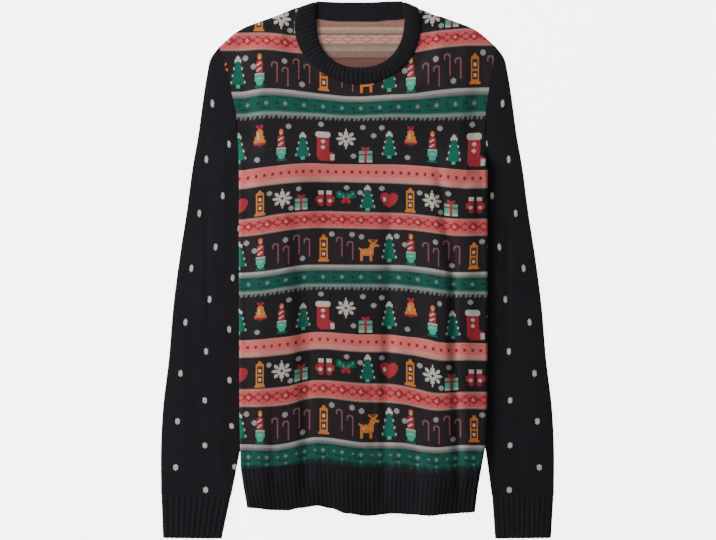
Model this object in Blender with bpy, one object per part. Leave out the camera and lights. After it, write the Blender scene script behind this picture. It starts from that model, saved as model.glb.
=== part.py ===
"""A knitted christmas sweater laid flat on a table, its sides folded under and its sleeves tucked behind.

All sizes are in millimetres until a mesh is made. "across" runs to the right from the middle of the
laid garment, "down" runs from the top of the collar towards the hem, and heights rise from the table.
"""
import bpy
import numpy as np

MM = 0.001

# Cloth
WALL = 2.0
GAP = 0.3
LAYER = WALL + GAP
SKIN = GAP / 2 + WALL          # from the middle of a folded pair to its outer skin
SEAT = 0.4                     # air between a folded side and the sleeve below it

# The laid garment
COLLAR_TOP = 366.7             # from the origin up to the top of the collar
FOLD_STRIP = np.pi * LAYER     # cloth taken up by a side fold
FOLD_STEPS = 4
PANEL_COLUMNS = 26
LEFT_FLAP_COLUMNS = 6
RIGHT_FLAP_COLUMNS = 4
FIRST_TOP = LEFT_FLAP_COLUMNS + FOLD_STEPS          # first and last columns of the side that shows
LAST_TOP = FIRST_TOP + PANEL_COLUMNS
UNDER = set(range(LAST_TOP + FOLD_STEPS + RIGHT_FLAP_COLUMNS)) - set(range(FIRST_TOP, LAST_TOP))
SHORT_FLAP = 0.5
ARMHOLE_EDGE = 6.0             # flat strip beside an armhole
FITTING_ROUNDS = 3             # passes that fit the columns between the two folds
STEP_WIDTH = 16.0              # slope where the cloth comes down off a folded side
SLEEVE_STEP_START = 10.0       # the same, measured from the edge of the sleeve below
SLEEVE_STEP_END = 28.0
SLEEVE_LIFT_START = 205.0
SLEEVE_LIFT_END = 250.0

# Body sections from the chest to the hem seam.
# down: place; left, right: outline; turn: how far the sides are folded, in degrees;
# flap: share of the flap's width that lies under the body, or -1 beside an armhole;
# raised: share of that width over which the cloth stands up on the fold
BODY_SECTIONS = np.array(
    [
        (150.0, -167.1, 176.0, 0.0, -1, 0),
        (170.0, -165.5, 175.3, 0.0, -1, 0),
        (188.0, -163.7, 175.3, 0.0, -1, 0),
        (204.0, -162.7, 176.1, 25.0, -1, 0.2),
        (217.0, -161.9, 176.9, 80.0, 0, 0.5),
        (228.0, -161.6, 177.3, 140.0, 0, 0.8),
        (239.0, -161.6, 177.3, 180.0, 0, 0.95),
        (250.0, -161.6, 177.3, 180.0, 0, 1),
        (259.0, -161.6, 177.3, 180.0, 0.17, 1),
        (268.0, -161.6, 177.3, 180.0, 0.5, 1),
        (277.0, -161.6, 177.3, 180.0, 1, 1),
        (298.0, -161.6, 177.3, 180.0, 1, 1),
        (324.0, -161.6, 177.3, 180.0, 1, 1),
        (356.0, -161.6, 177.3, 180.0, 1, 1),
        (390.0, -161.6, 177.3, 180.0, 1, 1),
        (425.0, -161.4, 177.2, 180.0, 1, 1),
        (460.0, -161.3, 177.0, 180.0, 1, 1),
        (495.0, -161.2, 176.9, 180.0, 1, 1),
        (530.0, -161.0, 176.7, 180.0, 1, 1),
        (565.0, -160.8, 176.3, 180.0, 1, 1),
        (602.0, -160.3, 174.6, 180.0, 1, 1),
        (639.0, -159.2, 167.8, 180.0, 1, 1),
    ],
    dtype=[(column, float) for column in ("down", "left", "right", "turn", "flap", "raised")],
)

# Ribbed hem
RIBS_PER_COLUMN = 2
RIB_HEIGHT = 0.6
HEM_SECTIONS = np.array(
    [
        (639.0 + GAP, -159.2, 167.8, 180.0, 1, 1),
        (662.0, -156.0, 164.0, 180.0, 1, 1),
        (693.6, -150.7, 160.3, 180.0, 1, 1),
    ],
    dtype=BODY_SECTIONS.dtype,
)

# How far the knitted rows sag below a straight line, across the body
ROW_SAG = np.array(
    [
        (-162.0, 0.0, -1.0),
        (-90.0, -5.0, -1.5),
        (-55.0, -6.8, -5.0),
        (-15.0, -4.0, 5.5),
        (12.0, -1.0, 8.0),
        (60.0, 4.0, 6.5),
        (98.0, 7.0, 8.0),
        (145.0, 6.5, 5.5),
        (177.0, 4.8, 2.0),
    ],
    dtype=[("across", float), ("hem_seam", float), ("hem_edge", float)],
)
SAG_START = 300.0

# Soft ridges of the front, from mid-body down to the hem
RIDGES = np.array(
    [
        (-24.0, 24.0, 3.4),
        (76.0, 20.0, 4.2),
    ],
    dtype=[("across", float), ("half_width", float), ("height", float)],
)
RIDGE_START = 300.0
RIDGE_FULL = 560.0

# Shoulders and neck
SHOULDER_LINE = [(-189.6, 64.8), (-161.6, 41.5), (-130.0, 28.4), (-109.8, 21.0), (-79.6, 13.4)]
SHOULDER_STEPS = 4
NECK_COLUMN = 6                # panel column that ends at the neck, on each side
NECK_MIDDLE = 2.7
NECK_WIDEST = 36.8
NECK_HALF_WIDTH = 83.9
NECK_DEPTH = 79.1
NECK_RISE = 14.0               # degrees that the neckline runs on above its widest line
BACK_NECK = [(-79.6, 13.4), (-57.3, 23.9), (4.8, 25.5), (66.8, 23.9), (85.0, 13.4)]

# Neckband
BAND_WALL = 3.0
BAND_CROWN = 0.4
BAND_RISE = 18.0               # degrees that the seam edge runs on above its widest line
BAND_EDGE_RISE = 22.0          # the same for the free edge
BAND_EDGE_FLARE = 0.02         # how much the free edge's ends lean out
BAND_EDGE_MIDDLE = 4.1
BAND_EDGE_WIDEST = 27.3
BAND_EDGE_HALF_WIDTH = 62.7
BAND_EDGE_DEPTH = 65.5
BAND_LIFT_START = 0.40         # shares of the front half's length, from its middle, between which
BAND_LIFT_END = 0.47           # it climbs on to the back half
BACK_BAND_INSET = 4.0
BAND_RIBS = 46
BAND_FOLD_STEPS = 4
BACK_BAND_STEPS = 16
BACK_BAND_EDGE = [(-59.0, 3.0), (-43.0, 5.0), (4.8, 6.0), (52.0, 5.0), (67.2, 3.0)]

# Sleeves, as the left one lies; the right one is its mirror image
SLEEVE_OUTER = [
    (-190.0, 65.2),
    (-199.8, 79.1),
    (-205.3, 102.3),
    (-210.7, 136.4),
    (-217.6, 186.9),
    (-224.4, 225.1),
    (-232.6, 286.4),
    (-242.1, 347.8),
    (-250.3, 409.2),
    (-257.8, 493.8),
    (-265.3, 556.5),
    (-268.0, 607.0),
    (-268.0, 673.8),
]
LEFT_INNER = [(-103.0, 285.0), (-133.5, 450.0), (-160.0, 613.8), (-172.0, 675.5)]
RIGHT_INNER = [(112.0, 285.0), (142.0, 450.0), (173.5, 607.0), (183.0, 675.5)]
SLEEVE_ROWS = 15
SLEEVE_TOP_COLUMNS = 8
SLEEVE_UNDER_COLUMNS = 5
EDGE_STEPS = 4
SLEEVE_PUFF = 1.6
PUFF_START = 8.0               # from the body's side to where the sleeve may rise
PUFF_FULL = 26.0
SLEEVE_LINE_POINTS = 41
SEAM_GAP = 0.45                # a little over the gap, since both edges are faceted
ARMHOLE_TURN = [(5.0, 9.0), (20.0, 16.0)]   # in under the body and down, from the last point that shows

# Cuffs: the corners of each, outer side first
LEFT_CUFF = [(-267.6, 674.2), (-172.4, 675.9), (-265.3, 732.6), (-184.8, 733.4)]
RIGHT_CUFF = [(267.6, 674.2), (183.4, 675.9), (264.0, 732.6), (187.5, 733.4)]
CUFF_RIBS = 11
CUFF_UNDER_COLUMNS = 5
CUFF_ROWS = 3

# Colours, as linear red, green and blue
NIGHT_YARN = (0.020, 0.018, 0.024)
JACQUARD_RED = (0.420, 0.090, 0.085)
JACQUARD_GREEN = (0.012, 0.120, 0.085)
KNIT_ROUGHNESS = 0.9

CURVE_STEPS = 400              # straight steps that stand for a smooth curve
SHOULDER_CURVE_STEPS = 50


def smooth_step(value, start, end):
    """0 before start, 1 after end, and an even S between them."""
    share = np.clip((value - start) / (end - start), 0.0, 1.0)
    return share * share * (3.0 - 2.0 * share)


def smooth_curve(points, shares):
    """Points at the given shares of the length of a smooth curve through the points."""
    points = np.asarray(points, float)
    knots = np.concatenate([[0.0], np.cumsum(np.hypot(*np.diff(points, axis=0).T))])
    slopes = np.gradient(points, knots, axis=0)
    fine = np.linspace(0.0, knots[-1], CURVE_STEPS)
    span = np.clip(np.searchsorted(knots, fine, side="right") - 1, 0, len(points) - 2)
    width = knots[span + 1] - knots[span]
    t = ((fine - knots[span]) / width)[:, None]
    width = width[:, None]
    curve = (
        (2 * t**3 - 3 * t**2 + 1) * points[span]
        + (t**3 - 2 * t**2 + t) * width * slopes[span]
        + (3 * t**2 - 2 * t**3) * points[span + 1]
        + (t**3 - t**2) * width * slopes[span + 1]
    )
    length = np.concatenate([[0.0], np.cumsum(np.hypot(*np.diff(curve, axis=0).T))])
    at = np.asarray(shares) * length[-1]
    return np.stack([np.interp(at, length, curve[:, k]) for k in range(2)], axis=1)


def table_curve(value, table, column):
    """A smooth curve through a table's column, read at each value across."""
    stops = np.asarray(value, float)
    low = np.clip(np.searchsorted(table["across"], stops) - 1, 0, len(table) - 2)
    blend = smooth_step(stops, table["across"][low], table["across"][low + 1])
    return table[column][low] * (1 - blend) + table[column][low + 1] * blend


def knit(colour, name):
    """A matt yarn of one colour."""
    material = bpy.data.materials.new(name)
    material.use_nodes = True
    shader = material.node_tree.nodes["Principled BSDF"]
    shader.inputs["Base Color"].default_value = (*colour, 1.0)
    shader.inputs["Roughness"].default_value = KNIT_ROUGHNESS
    shader.inputs["Metallic"].default_value = 0.0
    return material


def cells(rows, columns, first, closed, mirrored):
    """Triangles of a grid of points; mirrored columns are split along the other diagonal."""
    faces = []
    for r in range(rows - 1):
        for c in range(columns if closed else columns - 1):
            a = first + r * columns + c
            b = first + r * columns + (c + 1) % columns
            d, e = a + columns, b + columns
            faces += [(a, b, d), (b, e, d)] if c in mirrored else [(a, b, e), (a, e, d)]
    return faces


def wall(name, outer, inner, colour, closed=False, mirrored=()):
    """A closed wall between two grids of points, each given as rows of (across, down, height).

    A closed wall's columns run all the way round; an open one also gets its two side edges.
    """
    rows, columns = outer.shape[:2]
    second = rows * columns
    faces = cells(rows, columns, 0, closed, mirrored)
    faces += [(a, c, b) for a, b, c in cells(rows, columns, second, closed, mirrored)]
    rim = list(range(columns))
    last = [(rows - 1) * columns + c for c in range(columns)]
    if closed:
        loops = [rim + [rim[0]], last[::-1] + [last[-1]]]
    else:
        right = [r * columns + columns - 1 for r in range(rows)]
        left = [r * columns for r in range(rows)]
        loops = [rim + right[1:] + last[::-1][1:] + left[::-1][1:]]
    for loop in loops:
        for a, b in zip(loop, loop[1:]):
            faces += [(b, a, a + second), (b, a + second, b + second)]
    points = np.concatenate([outer.reshape(-1, 3), inner.reshape(-1, 3)])
    points = np.stack([points[:, 0], COLLAR_TOP - points[:, 1], points[:, 2]], axis=1) * MM
    corners = points[np.array(faces)]
    volume = np.einsum("ij,ij->", corners[:, 0], np.cross(corners[:, 1], corners[:, 2]))
    if volume < 0:
        faces = [face[::-1] for face in faces]
    mesh = bpy.data.meshes.new(name)
    mesh.from_pydata(points.tolist(), [], faces)
    mesh.validate()
    mesh.materials.append(knit(colour, name + "_yarn"))
    mesh.shade_smooth()
    piece = bpy.data.objects.new(name, mesh)
    bpy.context.scene.collection.objects.link(piece)
    return piece


# ---- The body's sections: a flat middle, a fold on each side and a flap under it


def sleeve_lift(across, down):
    """How much the body is raised by the sleeves tucked behind it."""
    lift = np.zeros_like(across)
    for side, inner in ((-1, LEFT_INNER), (1, RIGHT_INNER)):
        cuff = LEFT_CUFF if side < 0 else RIGHT_CUFF
        edge = np.array(inner + [cuff[3]])
        inside = side * across - side * np.interp(down, edge[:, 1], edge[:, 0])
        lift += smooth_step(inside, -SLEEVE_STEP_END, -SLEEVE_STEP_START)
    return lift * smooth_step(down, SLEEVE_LIFT_START, SLEEVE_LIFT_END) * (2 * LAYER + SEAT)


def folded_side(turn, flap_steps, flap_at):
    """One side of a section: run outwards, drop and facing angle of the fold's and flap's points.

    The fold is a strip of fixed width bent by the turn, and the flap goes straight on from it.
    """
    angle = np.linspace(0.0, turn, FOLD_STEPS + 1)[1:]
    length = np.linspace(0.0, FOLD_STRIP, FOLD_STEPS + 1)[1:]
    run = length * np.sinc(angle / np.pi)
    drop = length * np.sin(angle / 2) * np.sinc(angle / (2 * np.pi))
    run = np.concatenate([run, run[-1] + flap_at * np.cos(turn)])
    drop = np.concatenate([drop, drop[-1] + flap_at * np.sin(turn)])
    angle = np.concatenate([angle, np.full(flap_steps, turn)])
    return run, drop, angle


def section(row):
    """One section of the body: across, height and facing angle of its points, left to right."""
    turn = np.radians(row["turn"])
    pitch = (row["right"] - row["left"]) / PANEL_COLUMNS
    for _ in range(FITTING_ROUNDS):
        sides = []
        for count in (LEFT_FLAP_COLUMNS, RIGHT_FLAP_COLUMNS):
            steps = np.arange(1, count + 1)
            reach = round(row["flap"] * count) * pitch
            if row["flap"] < 0:
                flap_at = steps * ARMHOLE_EDGE / count
            elif row["flap"] == 0:
                flap_at = steps * SHORT_FLAP / count
            else:
                flap_at = np.minimum(steps * pitch, reach - (count - steps) * SHORT_FLAP)
            sides.append(folded_side(turn, count, flap_at))
        reach_out = [np.max(run + SKIN * np.sin(angle)) for run, drop, angle in sides]
        ends = (row["left"] + reach_out[0], row["right"] - reach_out[1])
        pitch = (ends[1] - ends[0]) / PANEL_COLUMNS
    middle = np.linspace(ends[0], ends[1], PANEL_COLUMNS + 1)
    raised = np.zeros_like(middle)
    for side, end, count, (run, drop, angle) in zip(
        (-1, 1), ends, (LEFT_FLAP_COLUMNS, RIGHT_FLAP_COLUMNS), sides
    ):
        inward = side * (end - middle)
        strip = row["raised"] * count * pitch
        raised += drop[-1] * (1 - smooth_step(inward, strip + 1.0, strip + 1.0 + STEP_WIDTH))
    height = SKIN + sleeve_lift(middle, row["down"]) + raised
    parts = []
    for side, end, (run, drop, angle) in zip((-1, 1), ends, sides):
        across = end + side * run
        part = np.stack([across, np.interp(across, middle, height) - drop, side * angle])
        parts.append(part[:, ::-1] if side < 0 else part)
    flat = np.stack([middle, height, np.zeros_like(middle)])
    return np.concatenate([parts[0], flat, parts[1]], axis=1)


def row_sag(across, down):
    """How far a knitted row sags at each place across."""
    seam = BODY_SECTIONS["down"][-1]
    share = np.clip((down - seam) / (HEM_SECTIONS["down"][-1] - seam), 0.0, 1.0)
    sag = table_curve(across, ROW_SAG, "hem_seam") * (1 - share)
    sag = sag + table_curve(across, ROW_SAG, "hem_edge") * share
    return sag * smooth_step(down, SAG_START, seam)


def ridge_height(across, down):
    """How far the front's soft ridges rise off the back."""
    height = np.zeros_like(across)
    for ridge in RIDGES:
        height += ridge["height"] * np.exp(-(((across - ridge["across"]) / ridge["half_width"]) ** 2))
    return height * smooth_step(down, RIDGE_START, RIDGE_FULL)


def body_grid(sections):
    """Grids of the middle surface (across, down, height) and of its facing angle."""
    points, facing = [], []
    for row in sections:
        across, height, angle = section(row)
        anchor = across.copy()
        anchor[:FIRST_TOP] = across[FIRST_TOP]
        anchor[LAST_TOP:] = across[LAST_TOP]
        down = row["down"] + row_sag(anchor, row["down"])
        points.append(np.stack([across, down, height], axis=1))
        facing.append(angle)
    return np.array(points), np.array(facing)


def offset(points, facing, distance):
    """The middle surface moved out along its facing."""
    moved = points.copy()
    moved[:, :, 0] += distance * np.sin(facing)
    moved[:, :, 2] += distance * np.cos(facing)
    return moved


def shoulder_points(near_points):
    """Points on the left shoulder line, spaced as the chest section's outermost points are."""
    spacing = near_points - near_points[0]
    narrow = ARMHOLE_EDGE + FOLD_STRIP
    line = smooth_curve(SHOULDER_LINE, np.linspace(0, 1, SHOULDER_CURVE_STEPS))
    length = np.sum(np.hypot(*np.diff(line, axis=0).T))
    wide = narrow + (spacing - narrow) * (length - narrow) / (spacing[-1] - narrow)
    return smooth_curve(SHOULDER_LINE, np.where(spacing < narrow, spacing, wide) / length)


def neckline_angles():
    """Angles of the panel's columns round the front neckline, 0 at the left and 180 at the right."""
    count = PANEL_COLUMNS - 2 * NECK_COLUMN
    return np.radians(np.linspace(-NECK_RISE, 180.0 + NECK_RISE, count + 1))


def front_neckline(angle, inset=0.0):
    """The front neckline: an ellipse that runs on above its widest line."""
    across = NECK_MIDDLE - (NECK_HALF_WIDTH - inset) * np.cos(angle)
    down = NECK_WIDEST + (NECK_DEPTH - inset) * np.sin(angle)
    return np.stack([across, down], axis=1)


def back_neckline():
    """The back neckline, left to right."""
    count = PANEL_COLUMNS - 2 * NECK_COLUMN
    return smooth_curve(BACK_NECK, np.linspace(0, 1, count + 1))


def top_edge(chest_across, neckline):
    """The panel's top edge: shoulder, neckline and shoulder."""
    left = shoulder_points(chest_across[: FIRST_TOP + NECK_COLUMN + 1])
    right = shoulder_points(-chest_across[LAST_TOP - NECK_COLUMN:][::-1])[::-1] * (-1, 1)
    right[:, 0] += NECK_MIDDLE * 2 * smooth_step(-right[:, 0], SHOULDER_LINE[2][0], SHOULDER_LINE[-1][0])
    return np.concatenate([left, neckline[1:-1], right])


def panel_grid(neckline):
    """The whole panel's middle surface, from its top edge down to the hem seam."""
    points, facing = body_grid(BODY_SECTIONS)
    chest = points[0]
    top = top_edge(chest[:, 0], neckline)
    share = np.linspace(0.0, 1.0, SHOULDER_STEPS + 1)[:-1, None, None]
    plane = top[None] * (1 - share) + chest[None, :, :2] * share
    height = np.broadcast_to(chest[:, 2], plane.shape[:2])
    yoke = np.concatenate([plane, height[:, :, None]], axis=2)
    flat = np.zeros(yoke.shape[:2])
    return np.concatenate([yoke, points]), np.concatenate([flat, facing])


def make_front():
    """Jacquard front: the outer layer, over the back and folded round it at the sides."""
    points, facing = panel_grid(front_neckline(neckline_angles()))
    points[:, :, 2] += ridge_height(points[:, :, 0], points[:, :, 1]) * (facing == 0)
    wall("front", offset(points, facing, SKIN), offset(points, facing, GAP / 2), JACQUARD_RED,
         mirrored=UNDER)


def make_back():
    """Jacquard back: the inner layer, its middle on the table."""
    points, facing = panel_grid(back_neckline())
    wall("back", offset(points, facing, -GAP / 2), offset(points, facing, -SKIN), JACQUARD_GREEN,
         mirrored=UNDER)


# ---- Ribbed hem, one length on the front and one on the back


def make_hem():
    """Two ribbed lengths that go on from the panels; the ribs are raised on the side that shows."""
    points, facing = body_grid(HEM_SECTIONS)
    steps = 2 * RIBS_PER_COLUMN
    shown = np.arange(PANEL_COLUMNS * steps + 1) / steps + FIRST_TOP
    count = points.shape[1]
    places = np.concatenate([np.arange(FIRST_TOP), shown, np.arange(LAST_TOP + 1, count)])
    low = np.minimum(places.astype(int), count - 2)
    share = (places - low)[None, :, None]
    back = points[:, low] * (1 - share) + points[:, low + 1] * share
    points[:, :, 2] += ridge_height(points[:, :, 0], points[:, :, 1]) * (facing == 0)
    front = points[:, low] * (1 - share) + points[:, low + 1] * share
    facing = facing[:, low] * (1 - share[..., 0]) + facing[:, low + 1] * share[..., 0]
    outer = offset(front, facing, SKIN)
    outer[:, FIRST_TOP: FIRST_TOP + len(shown), 2] += RIB_HEIGHT * (np.arange(len(shown)) % 2)
    under = set(range(len(places))) - set(range(FIRST_TOP, FIRST_TOP + len(shown) - 1))
    wall("hem_front", outer, offset(front, facing, GAP / 2), NIGHT_YARN, mirrored=under)
    wall("hem_back", offset(back, facing, -GAP / 2), offset(back, facing, -SKIN), NIGHT_YARN,
         mirrored=under)


# ---- Sleeves and cuffs: flattened tubes


def path_length(points):
    """The length walked along a line of points, at each of them."""
    return np.concatenate([[0.0], np.cumsum(np.hypot(*np.diff(points, axis=0).T))])


def tube_ring(line, top_steps, under_steps, swell, rib):
    """A flattened tube's ring along a line of the plan: outer and inner skin.

    The ring goes over the top, round the far edge, back along the table and round the near edge.
    swell gives the rise of the top at a place of the plan, and rib raises every other outer point.
    """
    length = path_length(line)
    width = length[-1]
    half_turn = np.linspace(-np.pi / 2, np.pi / 2, EDGE_STEPS + 1)
    top = np.linspace(SKIN, width - SKIN, top_steps + 1)
    under = np.linspace(width - SKIN, SKIN, under_steps + 1)[1:-1]
    arch = np.sin(np.pi * (top - SKIN) / (width - 2 * SKIN))
    rings = []
    for radius, raised in ((SKIN, rib), (GAP / 2, 0.0)):
        far_edge = width - SKIN + radius * np.cos(half_turn[1:])
        along = np.concatenate([SKIN - radius * np.cos(half_turn[:-1]), top, far_edge, under])
        plan = np.stack([np.interp(along, length, line[:, k]) for k in range(2)], axis=1)
        crown = swell(plan[EDGE_STEPS: EDGE_STEPS + len(top), 0]) * arch
        ribs = raised * (np.arange(len(top)) % 2)
        height = np.concatenate([
            radius * np.sin(half_turn[:-1]),
            radius + crown + ribs,
            -radius * np.sin(half_turn[1:]),
            np.full(len(under), -radius),
        ])
        rings.append(np.column_stack([plan, SKIN + height]))
    return rings


def make_tube(name, rings):
    """A flattened tube from its rings."""
    outer, inner = (np.array(skin) for skin in zip(*rings))
    wall(name, outer, inner, NIGHT_YARN, closed=True)


def armhole(side):
    """The armhole as the sleeve meets it: the body's edge, then the hidden part up to the underarm."""
    edge = BODY_SECTIONS["left" if side < 0 else "right"]
    inner = (LEFT_INNER if side < 0 else RIGHT_INNER)[0]
    shown = BODY_SECTIONS["down"] <= SLEEVE_LIFT_END
    line = [(side * (SEAM_GAP - SHOULDER_LINE[0][0]), SHOULDER_LINE[0][1] + SEAM_GAP)]
    line += [(a + side * SEAM_GAP, d) for a, d in zip(edge[shown], BODY_SECTIONS["down"][shown])]
    line += [(line[-1][0] - side * inset, SLEEVE_LIFT_END + below) for inset, below in ARMHOLE_TURN]
    return np.array(line + [inner])


def make_sleeve(name, side):
    """A sleeve: sections carried from the armhole to the cuff between its outer and inner edges."""
    shares = np.linspace(0.0, 1.0, SLEEVE_ROWS)
    inner = smooth_curve(LEFT_INNER if side < 0 else RIGHT_INNER, shares)
    outer = smooth_curve(SLEEVE_OUTER, shares) * (-side, 1)
    hole = armhole(side)
    length = path_length(hole)
    across = np.linspace(0.0, 1.0, SLEEVE_LINE_POINTS)[:, None]
    start = np.column_stack([np.interp(across[:, 0] * length[-1], length, hole[:, k]) for k in range(2)])
    end = outer[-1] + (inner[-1] - outer[-1]) * across
    body_side = BODY_SECTIONS["left" if side < 0 else "right"][-1]
    rings = []
    for share, outer_point, inner_point in zip(shares, outer, inner):
        line = start * (1 - share) + end * share
        line = line + (1 - across) * (outer_point - line[0]) + across * (inner_point - line[-1])
        rings.append(tube_ring(
            line, SLEEVE_TOP_COLUMNS, SLEEVE_UNDER_COLUMNS,
            lambda at: SLEEVE_PUFF * smooth_step(side * (at - body_side), PUFF_START, PUFF_FULL), 0.0,
        ))
    make_tube(name, rings)


def make_cuff(name, corners):
    """A ribbed cuff: a flattened tube that narrows towards the hand, ribs on the side that shows."""
    corners = np.array(corners)
    rings = []
    for share in np.linspace(0.0, 1.0, CUFF_ROWS):
        line = corners[:2] * (1 - share) + corners[2:] * share
        rings.append(tube_ring(line, 2 * CUFF_RIBS, CUFF_UNDER_COLUMNS, lambda at: 0.0, RIB_HEIGHT))
    make_tube(name, rings)


# ---- Neckband: a ribbed ring, its front half over its back half


def band_edges():
    """The front half's two edges: along the neckline, and its free edge."""
    count = 2 * BAND_RIBS
    angle = np.radians(np.linspace(-BAND_RISE, 180.0 + BAND_RISE, count + 1))
    stops = neckline_angles()
    panel = front_neckline(stops, 1.5 * GAP)
    seam = np.stack([np.interp(angle, stops, panel[:, k]) for k in range(2)], axis=1)
    beyond = (angle < stops[0]) | (angle > stops[-1])
    seam[beyond] = front_neckline(angle[beyond], 1.5 * GAP)
    angle = np.radians(np.linspace(-BAND_EDGE_RISE, 180.0 + BAND_EDGE_RISE, count + 1))
    upright = np.sign(np.cos(angle)) * (1 - BAND_EDGE_FLARE * np.sin(angle))
    across = BAND_EDGE_MIDDLE - BAND_EDGE_HALF_WIDTH * np.where(np.sin(angle) < 0, upright, np.cos(angle))
    down = BAND_EDGE_WIDEST + BAND_EDGE_DEPTH * np.sin(angle)
    return seam, np.stack([across, down], axis=1)


def band_corner(seam, free, starting):
    """Stations of the fold at one of the collar's top corners, between its front and back halves."""
    width = free - seam
    out = np.array([-width[1], width[0]]) / np.hypot(*width)
    out = out * np.sign(out @ (seam - np.array([NECK_MIDDLE, NECK_WIDEST])))
    turn = np.linspace(0, np.pi, BAND_FOLD_STEPS + 1)
    count = len(turn)
    return (
        np.repeat([seam], count, axis=0),
        np.repeat([free], count, axis=0),
        np.full(count, BAND_WALL + GAP / 2),
        turn[::-1] if starting else turn,
        np.zeros(count),
        np.repeat([out], count, axis=0),
    )


def make_neckband():
    """The neckband: three points make its width, and its length goes round the front, folds at
    each corner and goes across the back below."""
    seam, free = band_edges()
    count = len(seam)
    from_middle = np.abs(np.linspace(-0.5, 0.5, count))
    climb = smooth_step(from_middle, BAND_LIFT_START, BAND_LIFT_END)
    height = LAYER + BAND_WALL / 2 + (BAND_WALL - WALL) * climb
    ribs = np.arange(count) % 2 * RIB_HEIGHT
    front = (seam, free, height, np.zeros(count), ribs, np.zeros((count, 2)))

    shares = np.linspace(0, 1, BACK_BAND_STEPS + 1)[1:-1]
    neckline = back_neckline()
    ends = (neckline[-1, 0] - BACK_BAND_INSET, neckline[0, 0] + BACK_BAND_INSET)
    across = np.interp(shares, (0, 1), ends)
    back_seam = np.stack([across, np.interp(across, *neckline.T) - 2 * GAP], axis=1)
    back_free = smooth_curve(BACK_BAND_EDGE[::-1], shares)
    flat = np.zeros(len(shares))
    back = (back_seam, back_free, flat + BAND_WALL / 2, flat + np.pi, flat, np.zeros((len(flat), 2)))

    order = [
        tuple(column[1:-1] for column in front),
        band_corner(seam[-1], free[-1], False),
        back,
        band_corner(seam[0], free[0], True),
    ]
    seam, free, height, facing, ribs, out = (np.concatenate(column) for column in zip(*order))
    folded = np.any(out != 0, axis=1)
    skins = []
    for distance, raised, crown in ((BAND_WALL / 2, 1.0, BAND_CROWN), (-BAND_WALL / 2, 0.0, 0.0)):
        radius = np.where(folded, (BAND_WALL + GAP) / 2, 0.0) + distance
        shift = out * (radius * np.sin(facing))[:, None]
        top = height + radius * np.cos(facing) + raised * ribs
        rows = []
        for share in (0.0, 0.5, 1.0):
            plan = seam * (1 - share) + free * share + shift
            arch = crown * (facing == 0) * np.sin(np.pi * share)
            rows.append(np.column_stack([plan, top + arch]))
        skins.append(np.array(rows))
    wall("neckband", skins[0], skins[1], NIGHT_YARN, closed=True)


for old in list(bpy.data.objects):
    bpy.data.objects.remove(old)

make_front()
make_back()
make_hem()
make_sleeve("sleeve_left", -1)
make_sleeve("sleeve_right", 1)
make_cuff("cuff_left", LEFT_CUFF)
make_cuff("cuff_right", RIGHT_CUFF)
make_neckband()
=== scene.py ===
"""A knitted christmas sweater laid flat: how its pieces look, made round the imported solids.

Sizes are in millimetres until a mesh is made. "across" runs to the right from the middle of the laid
garment, "down" runs from the top of the collar towards the hem, and heights rise from the table.
"""

import bpy
import numpy as np
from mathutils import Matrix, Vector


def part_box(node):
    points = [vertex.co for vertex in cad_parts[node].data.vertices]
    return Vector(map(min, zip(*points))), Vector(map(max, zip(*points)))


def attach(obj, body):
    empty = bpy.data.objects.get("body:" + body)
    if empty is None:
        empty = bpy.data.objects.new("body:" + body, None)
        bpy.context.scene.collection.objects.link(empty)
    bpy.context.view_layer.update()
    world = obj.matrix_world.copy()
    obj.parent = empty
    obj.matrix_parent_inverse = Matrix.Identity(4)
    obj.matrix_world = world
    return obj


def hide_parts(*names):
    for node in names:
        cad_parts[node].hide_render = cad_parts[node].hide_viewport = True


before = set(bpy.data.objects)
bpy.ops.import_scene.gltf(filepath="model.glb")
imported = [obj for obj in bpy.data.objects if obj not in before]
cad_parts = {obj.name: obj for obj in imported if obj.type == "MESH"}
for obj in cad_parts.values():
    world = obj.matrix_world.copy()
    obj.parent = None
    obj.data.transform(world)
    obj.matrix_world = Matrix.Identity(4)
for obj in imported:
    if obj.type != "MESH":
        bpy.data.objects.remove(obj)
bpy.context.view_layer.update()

# ---- Front
# A jacquard-knit panel, the upper of the body's two layers. Its sides are folded under the body, and
# it is linked to the sleeves, the neckband and the ribbed hem. The knit is single, in a dark ground
# yarn with coloured yarns that float behind it where they don't show.


def size_table(columns, *rows):
    """Rows of numbers under named columns."""
    return np.array(list(rows), dtype=[(column, float) for column in columns.split()])


MM = 0.001
COLLAR_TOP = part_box("neckband")[1].y / MM
WALL = 2.0
GAP = 0.3
LAYER = WALL + GAP
SKIN = GAP / 2 + WALL            # from the middle of a folded pair to its outer skin
SEAT = 0.4
FOLD_STRIP = np.pi * LAYER
FOLD_STEPS = 10
FLAP_COLUMNS = (24, 16)          # left and right
FLAP_WIDTH = (75.0, 50.0)
PANEL_COLUMNS = 130
NECK_COLUMN = 30                 # panel column that ends at the neck, on each side
FIRST_TOP = FLAP_COLUMNS[0] + FOLD_STEPS
LAST_TOP = FIRST_TOP + PANEL_COLUMNS
BODY_ROWS = 164
YOKE_ROWS = 44
STEP_START = 1.0                 # from a flap's edge to the slope where the body comes down off it
FLAP_STEP = (16.0, 16.0)         # width of that slope in the back, left and right
FLAP_SPAN = (36.0, 50.0)         # and in the front, which spans it
SLEEVE_STEP = (10.0, 28.0)       # the same slope beside a sleeve, measured from the sleeve's edge
FRONT_STEP = (10.0, 75.0)        # and where the front spans it
SLEEVE_LIFT = (196.0, 232.0)     # where the body comes up onto the sleeves, down its side

STITCH = 1.84                    # width of a stitch and height of a row
ROW = 1.364

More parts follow.
